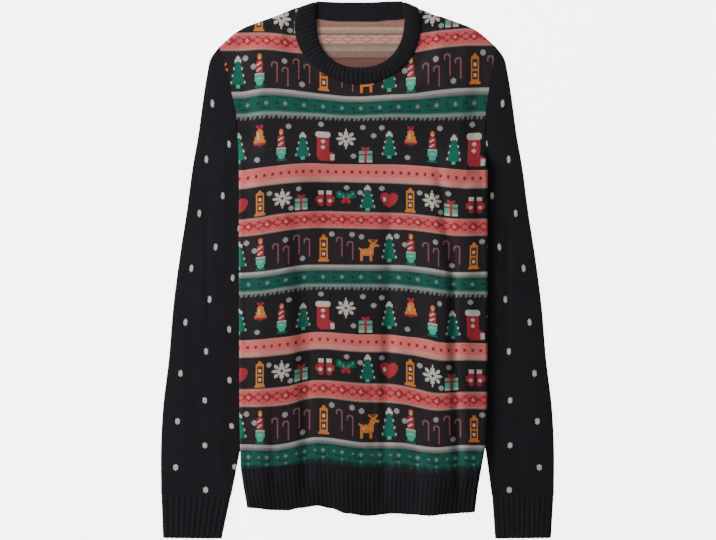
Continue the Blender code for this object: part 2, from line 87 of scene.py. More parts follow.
# down: place; left, right: outline; turn: how far the sides are folded, in degrees; flap: width of
# the flap, 1 being the whole side; raised: share of that width over which the cloth stands up
BODY_SECTIONS = size_table(
    "down left right turn flap raised",
    (150, -167.1, 176, 0, 0.1, 0),
    (170, -165.5, 175.3, 0, 0.1, 0),
    (188, -163.7, 175.3, 0, 0.1, 0),
    (204, -162.7, 176.1, 25, 0.1, 0.2),
    (217, -161.9, 176.9, 80, 0.01, 0.5),
    (228, -161.6, 177.3, 140, 0.01, 0.8),
    (239, -161.6, 177.3, 180, 0.01, 0.95),
    (250, -161.6, 177.3, 180, 0.01, 1),
    (259, -161.6, 177.3, 180, 0.17, 1),
    (268, -161.6, 177.3, 180, 0.5, 1),
    (277, -161.6, 177.3, 180, 1, 1),
    (390, -161.6, 177.3, 180, 1, 1),
    (460, -161.3, 177, 180, 1, 1),
    (530, -161, 176.7, 180, 1, 1),
    (565, -160.8, 176.3, 180, 1, 1),
    (602, -160.3, 174.6, 180, 1, 1),
    (639, -159.2, 167.8, 180, 1, 1),
)

# How far the hem's seam and edge sag below a straight line, across the body
HEM_SAG = size_table(
    "across hem_seam hem_edge",
    (-162, 0, -1),
    (-144, -1, -2.2),
    (-115, -3, 0.8),
    (-95, -5, 1.2),
    (-78, -6, -2),
    (-55, -6.8, -5),
    (-37, -5.6, -1.5),
    (-15, -4, 5.5),
    (12, -1, 9),
    (50, 3, 5.8),
    (75, 5, 7),
    (98, 7, 8.4),
    (125, 6.9, 6),
    (145, 6.5, 4.5),
    (177, 4.8, 2),
)
HEM_LINE = 693.6
SAG_START = 300.0
FLAP_SHORT = 3.0                 # how much higher the folded-under cloth ends at the hem

# Broad soft ridges of the front: place across, half width and height at the hem
RIDGES = [(-16.0, 22.0, 3.0), (104.0, 26.0, 5.6)]
RIDGE_GROWTH = (250.0, 500.0)

# Shoulder line of the left side, and the neck
SHOULDER_LINE = [
    (-189.6, 64.8),
    (-161.6, 41.5),
    (-130, 28.4),
    (-109.8, 21.3),
    (-94.8, 15),
    (-86.6, 11.6),
    (-77.5, 9.2),
]
RIGHT_DROP = 3.0                 # how much lower the right shoulder meets the neck
RIGHT_DROP_SPAN = (-118.0, -95.0)
SHOULDER_ROLL = 4.0              # width over which a panel rounds off at its shoulder seam
NECK_MIDDLE = 2.7
NECK_WIDEST = 36.8
NECK_HALF_WIDTH = 83.9
NECK_DEPTH = 79.1
NECK_RISE = 14.0                 # degrees that the neckline runs on above its widest line
NECK_FLARE = 0.01                # how much its upright ends lean out
NECK_TUCK = 4.0                  # how far the front's edge runs on under the neckband

# Edges of the sleeves behind the body, left and right
LEFT_INNER = [(-103.0, 285.0), (-133.5, 450.0), (-160.0, 613.8), (-172.0, 675.5)]
RIGHT_INNER = [(112.0, 285.0), (142.0, 450.0), (173.5, 607.0), (183.0, 675.5)]
LEFT_CUFF = [(-267.6, 673.0), (-172.4, 674.7), (-265.3, 732.6), (-184.8, 733.4)]
RIGHT_CUFF = [(267.6, 673.0), (183.4, 674.7), (264.0, 732.6), (187.5, 733.4)]

# Creases of the front: soft troughs and ridges between two places, uneven as cloth makes them
CREASE_COLUMNS = "from_across from_down to_across to_down half_width rise"
CREASES = size_table(
    CREASE_COLUMNS,
    (108, 206, 130, 390, 7.5, -5),
    (131, 318, 129.5, 500, 5.4, -5.4),
    (130.5, 440, 139, 700, 6.4, -5.5),
    (-84, 262, -68, 530, 13.5, -5.4),
    (-71, 460, -70, 706, 10, -5.5),
    (46, 262, 42, 510, 10, -4),
    (42, 440, 35, 706, 9.5, -4.4),
    (20, 505, 23, 650, 5, -1.5),
    (-46, 340, -34, 580, 12, 1.4),
    (-8, 250, -2, 420, 13, -0.9),
    (62, 330, 72, 560, 12, 1.1),
    (80, 590, 83, 690, 6, -1.4),
    (-116, 545, -113, 684, 6, -1.7),
    (-150, 226, -100, 262, 7, -1.4),
    (-148, 246, -112, 300, 7, 1),
    (165, 232, 132, 268, 7, -1.5),
    (164, 256, 140, 316, 8, 0.9),
    (-142, 320, -134, 440, 8, -1.1),
    (158, 400, 155, 600, 7, -1.1),
    (-56, 126, -92, 190, 10, -0.7),
    (-30, 132, -52, 230, 13, 0.9),
    (66, 122, 108, 196, 10, -1.2),
    (0, 128, 6, 214, 12, -1),
    (-120, 60, -136, 150, 11, 0.9),
    (128, 56, 142, 140, 10, -1),
)
CREASE_START = (-0.12, 0.3)      # shares of a crease's length over which it comes and goes
CREASE_END = (0.7, 1.12)
CREASE_SWELL = 5.6               # how far the front stands off the back between its creases
SWELL_MARGIN = 26.0
SWELL_START = (14.0, 38.0)       # below the shoulder and neck
OUTER_SHARE = 0.74               # share of a piece's unit square that its outer skin takes
SQUARE_MARGIN = 0.01             # empty border round each skin there
EDGE_MARGIN = 0.004              # strip of it that a closing edge takes
SHARP_EDGE = 50.0                # degrees between faces from which their edge is shown sharp


def smooth_step(value, start, end):
    """0 before start, 1 after end, and an even S between them."""
    share = np.clip((value - start) / (end - start), 0.0, 1.0)
    return share * share * (3.0 - 2.0 * share)


CURVE_POINTS = 400               # at which a curve's length is read


def smooth_curve(points, shares):
    """Points at shares of the length of a curve through the points (cubic pieces, averaged slopes)."""
    points = np.asarray(points, float)
    knots = np.concatenate([[0.0], np.cumsum(np.hypot(*np.diff(points, axis=0).T))])
    slopes = np.gradient(points, knots, axis=0)
    fine = np.linspace(0.0, knots[-1], CURVE_POINTS)
    span = np.clip(np.searchsorted(knots, fine, side="right") - 1, 0, len(points) - 2)
    width = (knots[span + 1] - knots[span])[:, None]
    t = (fine - knots[span])[:, None] / width
    curve = (2 * t**3 - 3 * t**2 + 1) * points[span] + (3 * t**2 - 2 * t**3) * points[span + 1]
    curve += width * ((t**3 - 2 * t**2 + t) * slopes[span] + (t**3 - t**2) * slopes[span + 1])
    length = path_length(curve)
    at = np.asarray(shares) * length[-1]
    return np.stack([np.interp(at, length, curve[:, k]) for k in range(2)], axis=1)


def path_length(points):
    """The length walked along points, at each of them."""
    steps = np.linalg.norm(np.diff(points, axis=-2), axis=-1)
    return np.concatenate([np.zeros(steps.shape[:-1] + (1,)), np.cumsum(steps, axis=-1)], axis=-1)


def sag_curve(across, column):
    """How far the hem sags at each place across, with an even S between the table's rows."""
    low = np.clip(np.searchsorted(HEM_SAG["across"], across) - 1, 0, len(HEM_SAG) - 2)
    blend = smooth_step(across, HEM_SAG["across"][low], HEM_SAG["across"][low + 1])
    return HEM_SAG[column][low] * (1 - blend) + HEM_SAG[column][low + 1] * blend


def stretched(sections, count):
    """The sections' rows read at evenly spaced places down."""
    fine = np.zeros(count, dtype=sections.dtype)
    fine["down"] = np.linspace(sections["down"][0], sections["down"][-1], count)
    for column in sections.dtype.names[1:]:
        fine[column] = np.interp(fine["down"], sections["down"], sections[column])
    return fine


def sleeve_lift(across, down, step):
    """Height of the body over the sleeves tucked behind it: an S down each sleeve's inner edge."""
    lift = np.zeros_like(across)
    for side, inner, cuff in ((-1, LEFT_INNER, LEFT_CUFF), (1, RIGHT_INNER, RIGHT_CUFF)):
        edge = np.array(inner + [cuff[3]])
        inside = side * across - side * np.interp(down, edge[:, 1], edge[:, 0])
        lift += smooth_step(inside, -step[1], -step[0])
    return lift * smooth_step(down, *SLEEVE_LIFT) * (2 * LAYER + SEAT)


def folded_side(turn, flap, count):
    """Run outwards, drop and facing of one side: an arc of the fold's length, then a straight flap."""
    turn = turn[:, None]
    share = np.linspace(0.0, 1.0, FOLD_STEPS + 1)[None, 1:]
    angle = turn * share
    run = FOLD_STRIP * share * np.sinc(angle / np.pi)
    drop = FOLD_STRIP * share * np.sin(angle / 2) * np.sinc(angle / (2 * np.pi))
    at = flap[:, None] * np.linspace(0.0, 1.0, count + 1)[None, 1:]
    run = np.hstack([run, run[:, -1:] + at * np.cos(turn)])
    drop = np.hstack([drop, drop[:, -1:] + at * np.sin(turn)])
    return run, drop, np.hstack([angle, np.repeat(turn, count, axis=1)])


def body_form(sections, count, steps=FLAP_STEP):
    """The middle surface between front and back, as (rows, columns) of across, down and height, and
    its facing angle: a top raised over the flaps and sleeves, and on each side a fold and a flap. From
    a flap's edge inwards the top comes down by the fold's drop, as an S as wide as the step."""
    rows = stretched(sections, count)
    turn = np.radians(rows["turn"])
    sides = [
        folded_side(turn, rows["flap"] * width, columns)
        for width, columns in zip(FLAP_WIDTH, FLAP_COLUMNS)
    ]
    reach = [np.max(run + SKIN * np.sin(angle), axis=1) for run, drop, angle in sides]
    left = (rows["left"] + reach[0])[:, None]
    right = (rows["right"] - reach[1])[:, None]
    middle = left + (right - left) * np.linspace(0.0, 1.0, PANEL_COLUMNS + 1)
    height = SKIN + sleeve_lift(middle, rows["down"][:, None], SLEEVE_STEP)
    ends = ((-1, left), (1, right))
    for (side, end), width, step, (run, drop, angle) in zip(ends, FLAP_WIDTH, steps, sides):
        inward = side * (end - middle) - rows["raised"][:, None] * width
        height += drop[:, -1:] * (1 - smooth_step(inward, STEP_START, STEP_START + step))
    parts = []
    for (side, end), (run, drop, angle) in zip(ends, sides):
        across = end + side * run
        above = np.array([np.interp(a, m, h) for a, m, h in zip(across, middle, height)])
        part = np.stack([across, above - drop, side * angle])
        parts.append(part[:, :, ::-1] if side < 0 else part)
    top = np.stack([middle, height, np.zeros_like(middle)])
    across, height, facing = np.concatenate([parts[0], top, parts[1]], axis=2)
    down = rows["down"][:, None] + hem_sag(folded_out(across), rows["down"])
    under = smooth_step(rows["down"], SAG_START, HEM_LINE)[:, None] * (np.cos(facing) < -0.99)
    down -= FLAP_SHORT * under
    return np.stack([across, down, height], axis=2), facing


def folded_out(across):
    """Places across, with those of the folds and flaps moved out to the line that they fold on."""
    anchor = across.copy()
    anchor[:, :FIRST_TOP] = across[:, FIRST_TOP, None]
    anchor[:, LAST_TOP + 1:] = across[:, LAST_TOP, None]
    return anchor


def hem_sag(across, down):
    """How far the cloth is pulled down at each place, growing from mid-body to the hem."""
    seam = BODY_SECTIONS["down"][-1]
    share = np.clip((down - seam) / (HEM_LINE - seam), 0.0, 1.0)[:, None]
    sag = sag_curve(across, "hem_seam") * (1 - share) + sag_curve(across, "hem_edge") * share
    return sag * smooth_step(down, SAG_START, seam)[:, None]


def crease_lines(creases, across, down):
    """Height of the creases at each place: the sum of rise * exp(-(beside / half width)^2), each fading
    at both ends of its line."""
    lines = np.zeros_like(across)
    for crease in creases:
        aside, below = across - crease["from_across"], down - crease["from_down"]
        run = crease["to_across"] - crease["from_across"], crease["to_down"] - crease["from_down"]
        length = np.hypot(*run)
        along = (aside * run[0] + below * run[1]) / length**2
        beside = (aside * run[1] - below * run[0]) / length
        ends = smooth_step(along, *CREASE_START) * (1 - smooth_step(along, *CREASE_END))
        lines += crease["rise"] * ends * np.exp(-((beside / crease["half_width"]) ** 2))
    return lines


def front_form(points, spanned, facing, fade):
    """The front's middle surface from the body's: on its top it spans the steps beside flaps and
    sleeves, and rises in broad ridges and in a swell that the creases sink into. The swell ends at
    the folds and where it is faded."""
    across, down = points[..., 0], points[..., 1]
    swell = fade * smooth_step(across - across[:, FIRST_TOP, None], 0.0, SWELL_MARGIN)
    swell *= smooth_step(across[:, LAST_TOP, None] - across, 0.0, SWELL_MARGIN)
    ridges = np.zeros_like(across)
    for place, half_width, height in RIDGES:
        ridges += height * np.exp(-(((across - place) / half_width) ** 2))
    rise = spanned[..., 2] - points[..., 2] + ridges * smooth_step(down, *RIDGE_GROWTH)
    rise += sleeve_lift(across, down, FRONT_STEP) - sleeve_lift(across, down, SLEEVE_STEP)
    rise += swell * np.maximum(CREASE_SWELL + crease_lines(CREASES, across, down), 0.0)
    raised = points.copy()
    raised[..., 2] += rise * (facing == 0)
    return raised


def offset(points, facing, distance):
    """The middle surface moved out along its facing."""
    moved = points.copy()
    moved[..., 0] += distance * np.sin(facing)
    moved[..., 2] += distance * np.cos(facing)
    return moved


def shoulder_points(near_points):
    """Points on the left shoulder line, spaced as the chest section's outermost points are."""
    spacing = near_points - near_points[0]
    return smooth_curve(SHOULDER_LINE, spacing / spacing[-1])


def neckline(angle, inset=0.0, wider=0.0, upright=False):
    """The front neckline: an ellipse, wider on its left, that runs on above its widest line, there as
    an ellipse too or nearly upright."""
    side = np.cos(angle)
    if upright:
        flared = np.sign(side) * (1 - NECK_FLARE * np.sin(angle))
        side = np.where(np.sin(angle) < 0, flared, side)
    half_width = NECK_HALF_WIDTH + wider * np.clip(side, 0.0, 1.0) ** 2
    across = NECK_MIDDLE - (half_width - inset) * side
    down = NECK_WIDEST + (NECK_DEPTH - inset) * np.sin(angle)
    return np.stack([across, down], axis=1)


def panel_form(neck, steps=FLAP_STEP):
    """A whole panel's middle surface: straight columns from the shoulders and neck to the chest, and
    the body's sections from there to the hem."""
    points, facing = body_form(BODY_SECTIONS, BODY_ROWS, steps)
    chest = points[0]
    left = shoulder_points(chest[: FIRST_TOP + NECK_COLUMN + 1, 0])
    right = shoulder_points(-chest[LAST_TOP - NECK_COLUMN:, 0][::-1])[::-1] * (-1, 1)
    right[:, 1] += RIGHT_DROP * smooth_step(-right[:, 0], *RIGHT_DROP_SPAN)
    near_neck = smooth_step(-right[:, 0], SHOULDER_LINE[2][0], SHOULDER_LINE[-1][0])
    right[:, 0] += NECK_MIDDLE * 2 * near_neck
    top = np.concatenate([left, neck[1:-1], right])
    share = np.linspace(0.0, 1.0, YOKE_ROWS + 1)[:-1, None, None]
    plane = top * (1 - share) + chest[:, :2] * share
    height = np.repeat(chest[None, :, 2:], YOKE_ROWS, axis=0)
    yoke = np.concatenate([plane, height], axis=2)
    return np.concatenate([yoke, points]), np.concatenate([np.zeros(yoke.shape[:2]), facing])


def edge_share(points):
    """1 on a panel, falling round a quarter circle to 0 at its shoulder seams."""
    along = path_length(points[:, :, :2].swapaxes(0, 1)).T
    reach = np.clip(along / SHOULDER_ROLL, 0.0, 1.0)
    shoulder = np.ones(points.shape[1])
    shoulder[FIRST_TOP + NECK_COLUMN: LAST_TOP - NECK_COLUMN + 1] = 0.0
    return 1 - (1 - np.sqrt(1 - (1 - reach) ** 2)) * shoulder


def grid_map(first, second):
    """A map of a grid from its two numbers, each given for every point, row or column."""
    return np.stack(np.broadcast_arrays(first, second), axis=2)


def strip(first, second):
    """Quads between two lines, each of which is a list of arrays: its vertices and their places on
    the two maps."""
    return [np.stack([a[:-1], a[1:], b[1:], b[:-1]], axis=1) for a, b in zip(first, second)]


def knit_wall(name, outer, inner, stitches, spread, yarns, closed=False):
    """A closed wall of cloth between two grids of points (rows, columns, 3).

    Each skin joins a grid point to the next in its row and to their likes in the next row, and strips
    of quads close the edges. stitches and spread are the grid's two maps: places counted in stitches
    and rows, and the cloth laid out in a unit square, where the outer skin takes the left share. A
    closed wall's columns run all the way round, and its maps have one column more than its points.
    """
    rows, columns = outer.shape[:2]
    numbers = np.arange(rows * columns).reshape(rows, columns)
    if closed:
        numbers = np.concatenate([numbers, numbers[:, :1]], axis=1)
    full = 1 - 2 * SQUARE_MARGIN
    laid = spread * (OUTER_SHARE - 2 * SQUARE_MARGIN, full) + SQUARE_MARGIN
    laid_inner = spread * (full - OUTER_SHARE, full) + (OUTER_SHARE + SQUARE_MARGIN, SQUARE_MARGIN)
    quads, sides = [], []

    def add(first, second, side):
        """Keeps the quads between two lines, and the side of the cloth that they show."""
        quads.append(strip(first, second))
        sides.append(np.full(len(quads[-1][0]), side))

    def close(edge, lean, turned):
        """Joins the two skins along an edge of the grid."""
        skins = [
            (numbers[edge], stitches[edge], laid[edge]),
            (numbers[edge] + rows * columns, stitches[edge], laid[edge] + lean),
        ]
        add(*(skins[::-1] if turned else skins), 0)

    for line in range(rows - 1):
        here, below = ((numbers[k], stitches[k], laid[k]) for k in (line, line + 1))
        add(here, below, 0)
        here, below = (
            (numbers[k] + rows * columns, stitches[k], laid_inner[k]) for k in (line, line + 1)
        )
        add(below, here, 1)
    close(np.s_[0], (0.0, -EDGE_MARGIN), True)
    close(np.s_[rows - 1], (0.0, EDGE_MARGIN), False)
    if not closed:
        close(np.s_[:, 0], (-EDGE_MARGIN, 0.0), False)
        close(np.s_[:, columns - 1], (EDGE_MARGIN, 0.0), True)
    faces, stitch_map, square_map = (np.concatenate(parts) for parts in zip(*quads))
    points = np.concatenate([outer.reshape(-1, 3), inner.reshape(-1, 3)])
    points = np.stack([points[:, 0], COLLAR_TOP - points[:, 1], points[:, 2]], axis=1) * MM
    a, b, c, d = (points[faces[:, k]] for k in range(4))
    volume = np.sum(a * np.cross(b, c)) + np.sum(a * np.cross(c, d))
    order = [0, 1, 2, 3] if volume > 0 else [3, 2, 1, 0]
    mesh = bpy.data.meshes.new(name)
    mesh.from_pydata(points.tolist(), [], faces[:, order].tolist())
    for title, corners in (("knit", stitch_map), ("OFBake", square_map)):
        layer = mesh.uv_layers.new(name=title)
        layer.data.foreach_set("uv", corners[:, order].astype(np.float32).ravel())
    mesh.polygons.foreach_set("material_index", np.concatenate(sides).astype(np.int32))
    mesh.shade_smooth()
    mesh.set_sharp_from_angle(angle=np.radians(SHARP_EDGE))
    for yarn in yarns:
        mesh.materials.append(yarn)
    mesh.update()
    piece = bpy.data.objects.new(name, mesh)
    bpy.context.scene.collection.objects.link(piece)
    return piece


# Where the knitted rows of the pattern lie: how far below its even place each is, across the body
ROW_PLACES = size_table(
    "across -52 0 23 71 89 120 172 195 243 292 344",
    (-157.5, -7.5, 0, 2.8, 6.7, 9, 7, 8.9, 8.2, 5.2, 4.2, 7.6),
    (-130.3, -8, -3.3, 0.2, 4.2, 5.8, 4.5, 7.3, 7.1, 4, 3.6, 8),
    (-111.2, -7, -3.2, 0.1, 2.8, 4, 1.8, 5.6, 4.6, 2.4, 2.4, 8.4),
    (-92.1, -5, -2, 0.7, 1.2, 2.5, 0.3, 2.7, 2.3, 1, 1.2, 6),
    (-74.3, -4.5, -0.3, 1.1, 0.3, 1.5, -0.8, 0.7, 0.1, -1.8, -3, 2.6),
    (-56.6, -4, 1.2, 1.7, 0.2, 1.3, -1.6, 0.5, -0.4, -3.8, -4.8, 0.4),
    (-37.5, -3.5, 2.6, 2.7, 1, 1.4, -1.4, 0.5, -0.2, -3.3, -4.4, 1.2),
    (-17.1, -3, 4.4, 3.6, 1.2, 1.5, -1, 0.6, -0.1, -1.8, -3, 3.5),
    (4.8, -3, 4.8, 3.6, 1.3, 2, -0.5, 0.7, 0, -0.8, -1.5, 5.9),
    (44.3, -4, 2.6, 2.3, 1.3, 2.6, 0.3, 0.7, 0.2, -0.8, -0.8, 5.9),
    (64.8, -5, 2.2, 2.4, 1.7, 3.5, 0.7, 1, 1.3, 1.2, 1.2, 6.4),
    (82.5, -6.5, 1, 2.8, 2.5, 4, 2, 2.4, 2.9, 2.3, 4, 8.8),
    (98.9, -8.5, -0.6, 2.8, 3.5, 4.6, 3.5, 3.8, 4.3, 4.4, 7, 10.4),
    (112.5, -10, -1.6, 2.3, 4.5, 5.6, 4.6, 5.9, 5.7, 7, 8, 10.6),
    (128.9, -11, -2.8, 2.1, 5.5, 7.4, 6, 8.2, 7.3, 7.6, 7.4, 9.2),
    (146.6, -12, -3.3, 1.5, 6.4, 8.4, 6.3, 8.4, 7.4, 7.4, 6.6, 8.2),
    (173.9, -12, -4, 0.1, 6.4, 7.8, 6.2, 7.4, 7.4, 8.2, 7, 8.8),
)
PATTERN_START = 92.5             # rows from the collar's top down to the first whole repeat
SAG_BLUR = 5.0


def knitted_rows(across, down):
    """The pattern's row at each place: the even count, less the sag read from the table, straight
    between its entries and averaged over a few places side by side."""
    count = down / ROW - PATTERN_START
    titles = ROW_PLACES.dtype.names[1:]
    stops = np.array(titles, float)
    beside = across[..., None] + np.linspace(-SAG_BLUR, SAG_BLUR, 5)
    sags = np.stack(
        [np.interp(beside, ROW_PLACES["across"], ROW_PLACES[title]).mean(axis=-1) for title in titles],
        axis=-1,
    )
    low = np.clip(np.searchsorted(stops, count) - 1, 0, len(stops) - 2)
    share = np.clip((count - stops[low]) / (stops[low + 1] - stops[low]), 0.0, 1.0)
    before = np.take_along_axis(sags, low[..., None], axis=-1)[..., 0]
    after = np.take_along_axis(sags, low[..., None] + 1, axis=-1)[..., 0]
    return count - before * (1 - share) - after * share


def panel_maps(points, rows):
    """A panel's two maps: stitches counted from its middle and pattern rows, and an even square."""
    along = path_length(points[:, :, [0, 2]])
    centre = (FIRST_TOP + LAST_TOP) // 2
    along = along - along[:, centre, None] + points[:, centre, 0, None]
    down = np.linspace(0.0, 1.0, len(points))[:, None]
    spread = grid_map((along - along.min()) / np.ptp(along), down)
    return grid_map(along / STITCH, rows), spread


RELIEF = 0.0004                  # depth of a stitch's relief, in metres
LEG_LEAN = 0.5                   # rows by which each leg of a stitch's V leans
LEG_SHARE = 0.65                 # of the relief, the rest being the loop's
YARN_SHINE = 0.12
YARN_FUZZ = 0.04


class Yarn:
    """A number, colour or vector in a material's nodes; arithmetic on it adds the nodes it takes."""

    tree = None

    def __init__(self, socket):
        self.socket = socket

    @staticmethod
    def node(kind, settings=None, inputs=None, output=0):
        """Any node: its type, its settings, the values or links of its inputs, and which output."""
        made = Yarn.tree.nodes.new("ShaderNode" + kind)
        for title, value in (settings or {}).items():
            if title == "stops":
                ramp = made.color_ramp
                ramp.interpolation = "CONSTANT"
                while len(ramp.elements) < len(value):
                    ramp.elements.new(1.0)
                for stop, (place, colour) in zip(ramp.elements, value):
                    stop.position = place
                    stop.color = (*colour, 1.0)
            else:
                setattr(made, title, value)
        for place, value in (inputs or {}).items():
            if isinstance(value, Yarn):
                Yarn.tree.links.new(value.socket, made.inputs[place])
            else:
                made.inputs[place].default_value = value
        return Yarn(made.outputs[output])

    @staticmethod
    def plain(colour):
        """One colour all over."""
        made = Yarn.node("RGB")
        made.socket.default_value = (*colour, 1.0)
        return made

    def maths(self, operation, *others):
        """One Math node on this number and the others."""
        return Yarn.node("Math", {"operation": operation}, dict(enumerate((self, *others))))

    def __add__(self, other):
        return self.maths("ADD", other)

    def __sub__(self, other):
        return self.maths("SUBTRACT", other)

    def __rsub__(self, other):
        return Yarn.node("Math", {"operation": "SUBTRACT"}, {0: other, 1: self})

    def __mul__(self, other):
        return self.maths("MULTIPLY", other)

    def __truediv__(self, other):
        return self.maths("DIVIDE", other)

    def __mod__(self, other):
        return self.maths("FLOORED_MODULO", other)

    def __lt__(self, other):
        return self.maths("LESS_THAN", other)

    def __gt__(self, other):
        return self.maths("GREATER_THAN", other)

    def __abs__(self):
        return self.maths("ABSOLUTE")

    def floor(self):
        """The whole number at or below this one."""
        return self.maths("FLOOR")

    __radd__ = __add__

    def ramp(self, stops):
        """The colour of the last stop at or before this number."""
        return Yarn.node("ValToRGB", {"stops": stops}, {0: self})

    def tint(self, other, share):
        """This colour mixed towards another by a share."""
        return Yarn.node(
            "Mix", {"data_type": "RGBA"}, {"Factor": share, 6: self, 7: other}, output=2
        )

    def scaled(self, by):
        """This vector times a number."""
        return Yarn.node("VectorMath", {"operation": "SCALE"}, {0: self, "Scale": by})

    def plus(self, other):
        """The sum of two vectors."""
        return Yarn.node("VectorMath", {"operation": "ADD"}, {0: self, 1: other})

    def parts(self):
        """A vector's three numbers."""
        split = Yarn.node("SeparateXYZ", inputs={0: self}).socket.node
        return [Yarn(output) for output in split.outputs]


def linear(*srgb):
    """A colour given as it looks on a screen, 0 to 255, as linear light."""
    value = np.array(srgb) / 255
    return tuple(np.where(value <= 0.04045, value / 12.92, ((value + 0.055) / 1.055) ** 2.4).tolist())


def knit_material(name):
    """A new material whose nodes are ready, its places counted in stitches and rows on the cloth."""
    material = bpy.data.materials.new(name)
    material.use_nodes = True
    Yarn.tree = material.node_tree
    place = Yarn.node("UVMap", {"uv_map": "knit"})
    across, down, _ = place.parts()
    return material, across, down


def finish_knit(material, colour, relief, roughness):
    """Sets the yarn's colour, its roughness, its fuzz and the relief of its stitches."""
    shader = material.node_tree.nodes["Principled BSDF"]
    links = material.node_tree.links
    links.new(colour.socket, shader.inputs["Base Color"])
    raised = Yarn.node("Bump", inputs={"Strength": 1.0, "Distance": RELIEF, "Height": relief})
    links.new(raised.socket, shader.inputs["Normal"])
    shader.inputs["Roughness"].default_value = roughness
    shader.inputs["Specular IOR Level"].default_value = YARN_SHINE
    shader.inputs["Sheen Weight"].default_value = YARN_FUZZ
    shader.inputs["Sheen Roughness"].default_value = 0.5


def stitch_cells(across, down):
    """The stitch and row under each place, and the height of its V of two leaning legs."""
    beside = abs(across - across.floor() - 0.5) * 2.0
    lean = down + beside * LEG_LEAN
    row = lean.floor()
    leg = 1.0 - abs(beside * 2.0 - 1.0)
    loop = 1.0 - abs((lean - row) * 2.0 - 1.0)
    return across.floor(), row, leg * LEG_SHARE + loop * (1 - LEG_SHARE)


def about_one(number, strength):
    """1 - strength / 2 + strength * number, for a number from 0 to 1."""
    return 1.0 - strength / 2 + number * strength


def speckle(first, second):
    """A random number from 0 to 1 for each pair of whole numbers."""
    cell = Yarn.node("CombineXYZ", inputs={0: first, 1: second})
    return Yarn.node("TexWhiteNoise", {"noise_dimensions": "2D"}, {"Vector": cell})


def heather(stitch, row, strength):
    """A number near 1 for each stitch, uneven as spun yarn is."""
    return about_one(speckle(stitch, row), strength)


def cloudy(scale, strength):
    """A number near 1 that changes in soft uneven patches over the cloth."""
    place = Yarn.node("TexCoord", output="Object")
    patches = Yarn.node("TexNoise", inputs={"Vector": place, "Scale": scale, "Detail": 2.0})
    return about_one(patches, strength)


MOTIF_LETTERS = ".rgmwopb"
MOTIF_YARNS = {
    ".": linear(33, 31, 33),
    "r": linear(150, 43, 54),
    "g": linear(21, 92, 77),
    "m": linear(60, 160, 134),
    "w": linear(180, 174, 164),
    "o": linear(192, 114, 52),
    "p": linear(116, 80, 86),
    "b": linear(82, 48, 38),
}

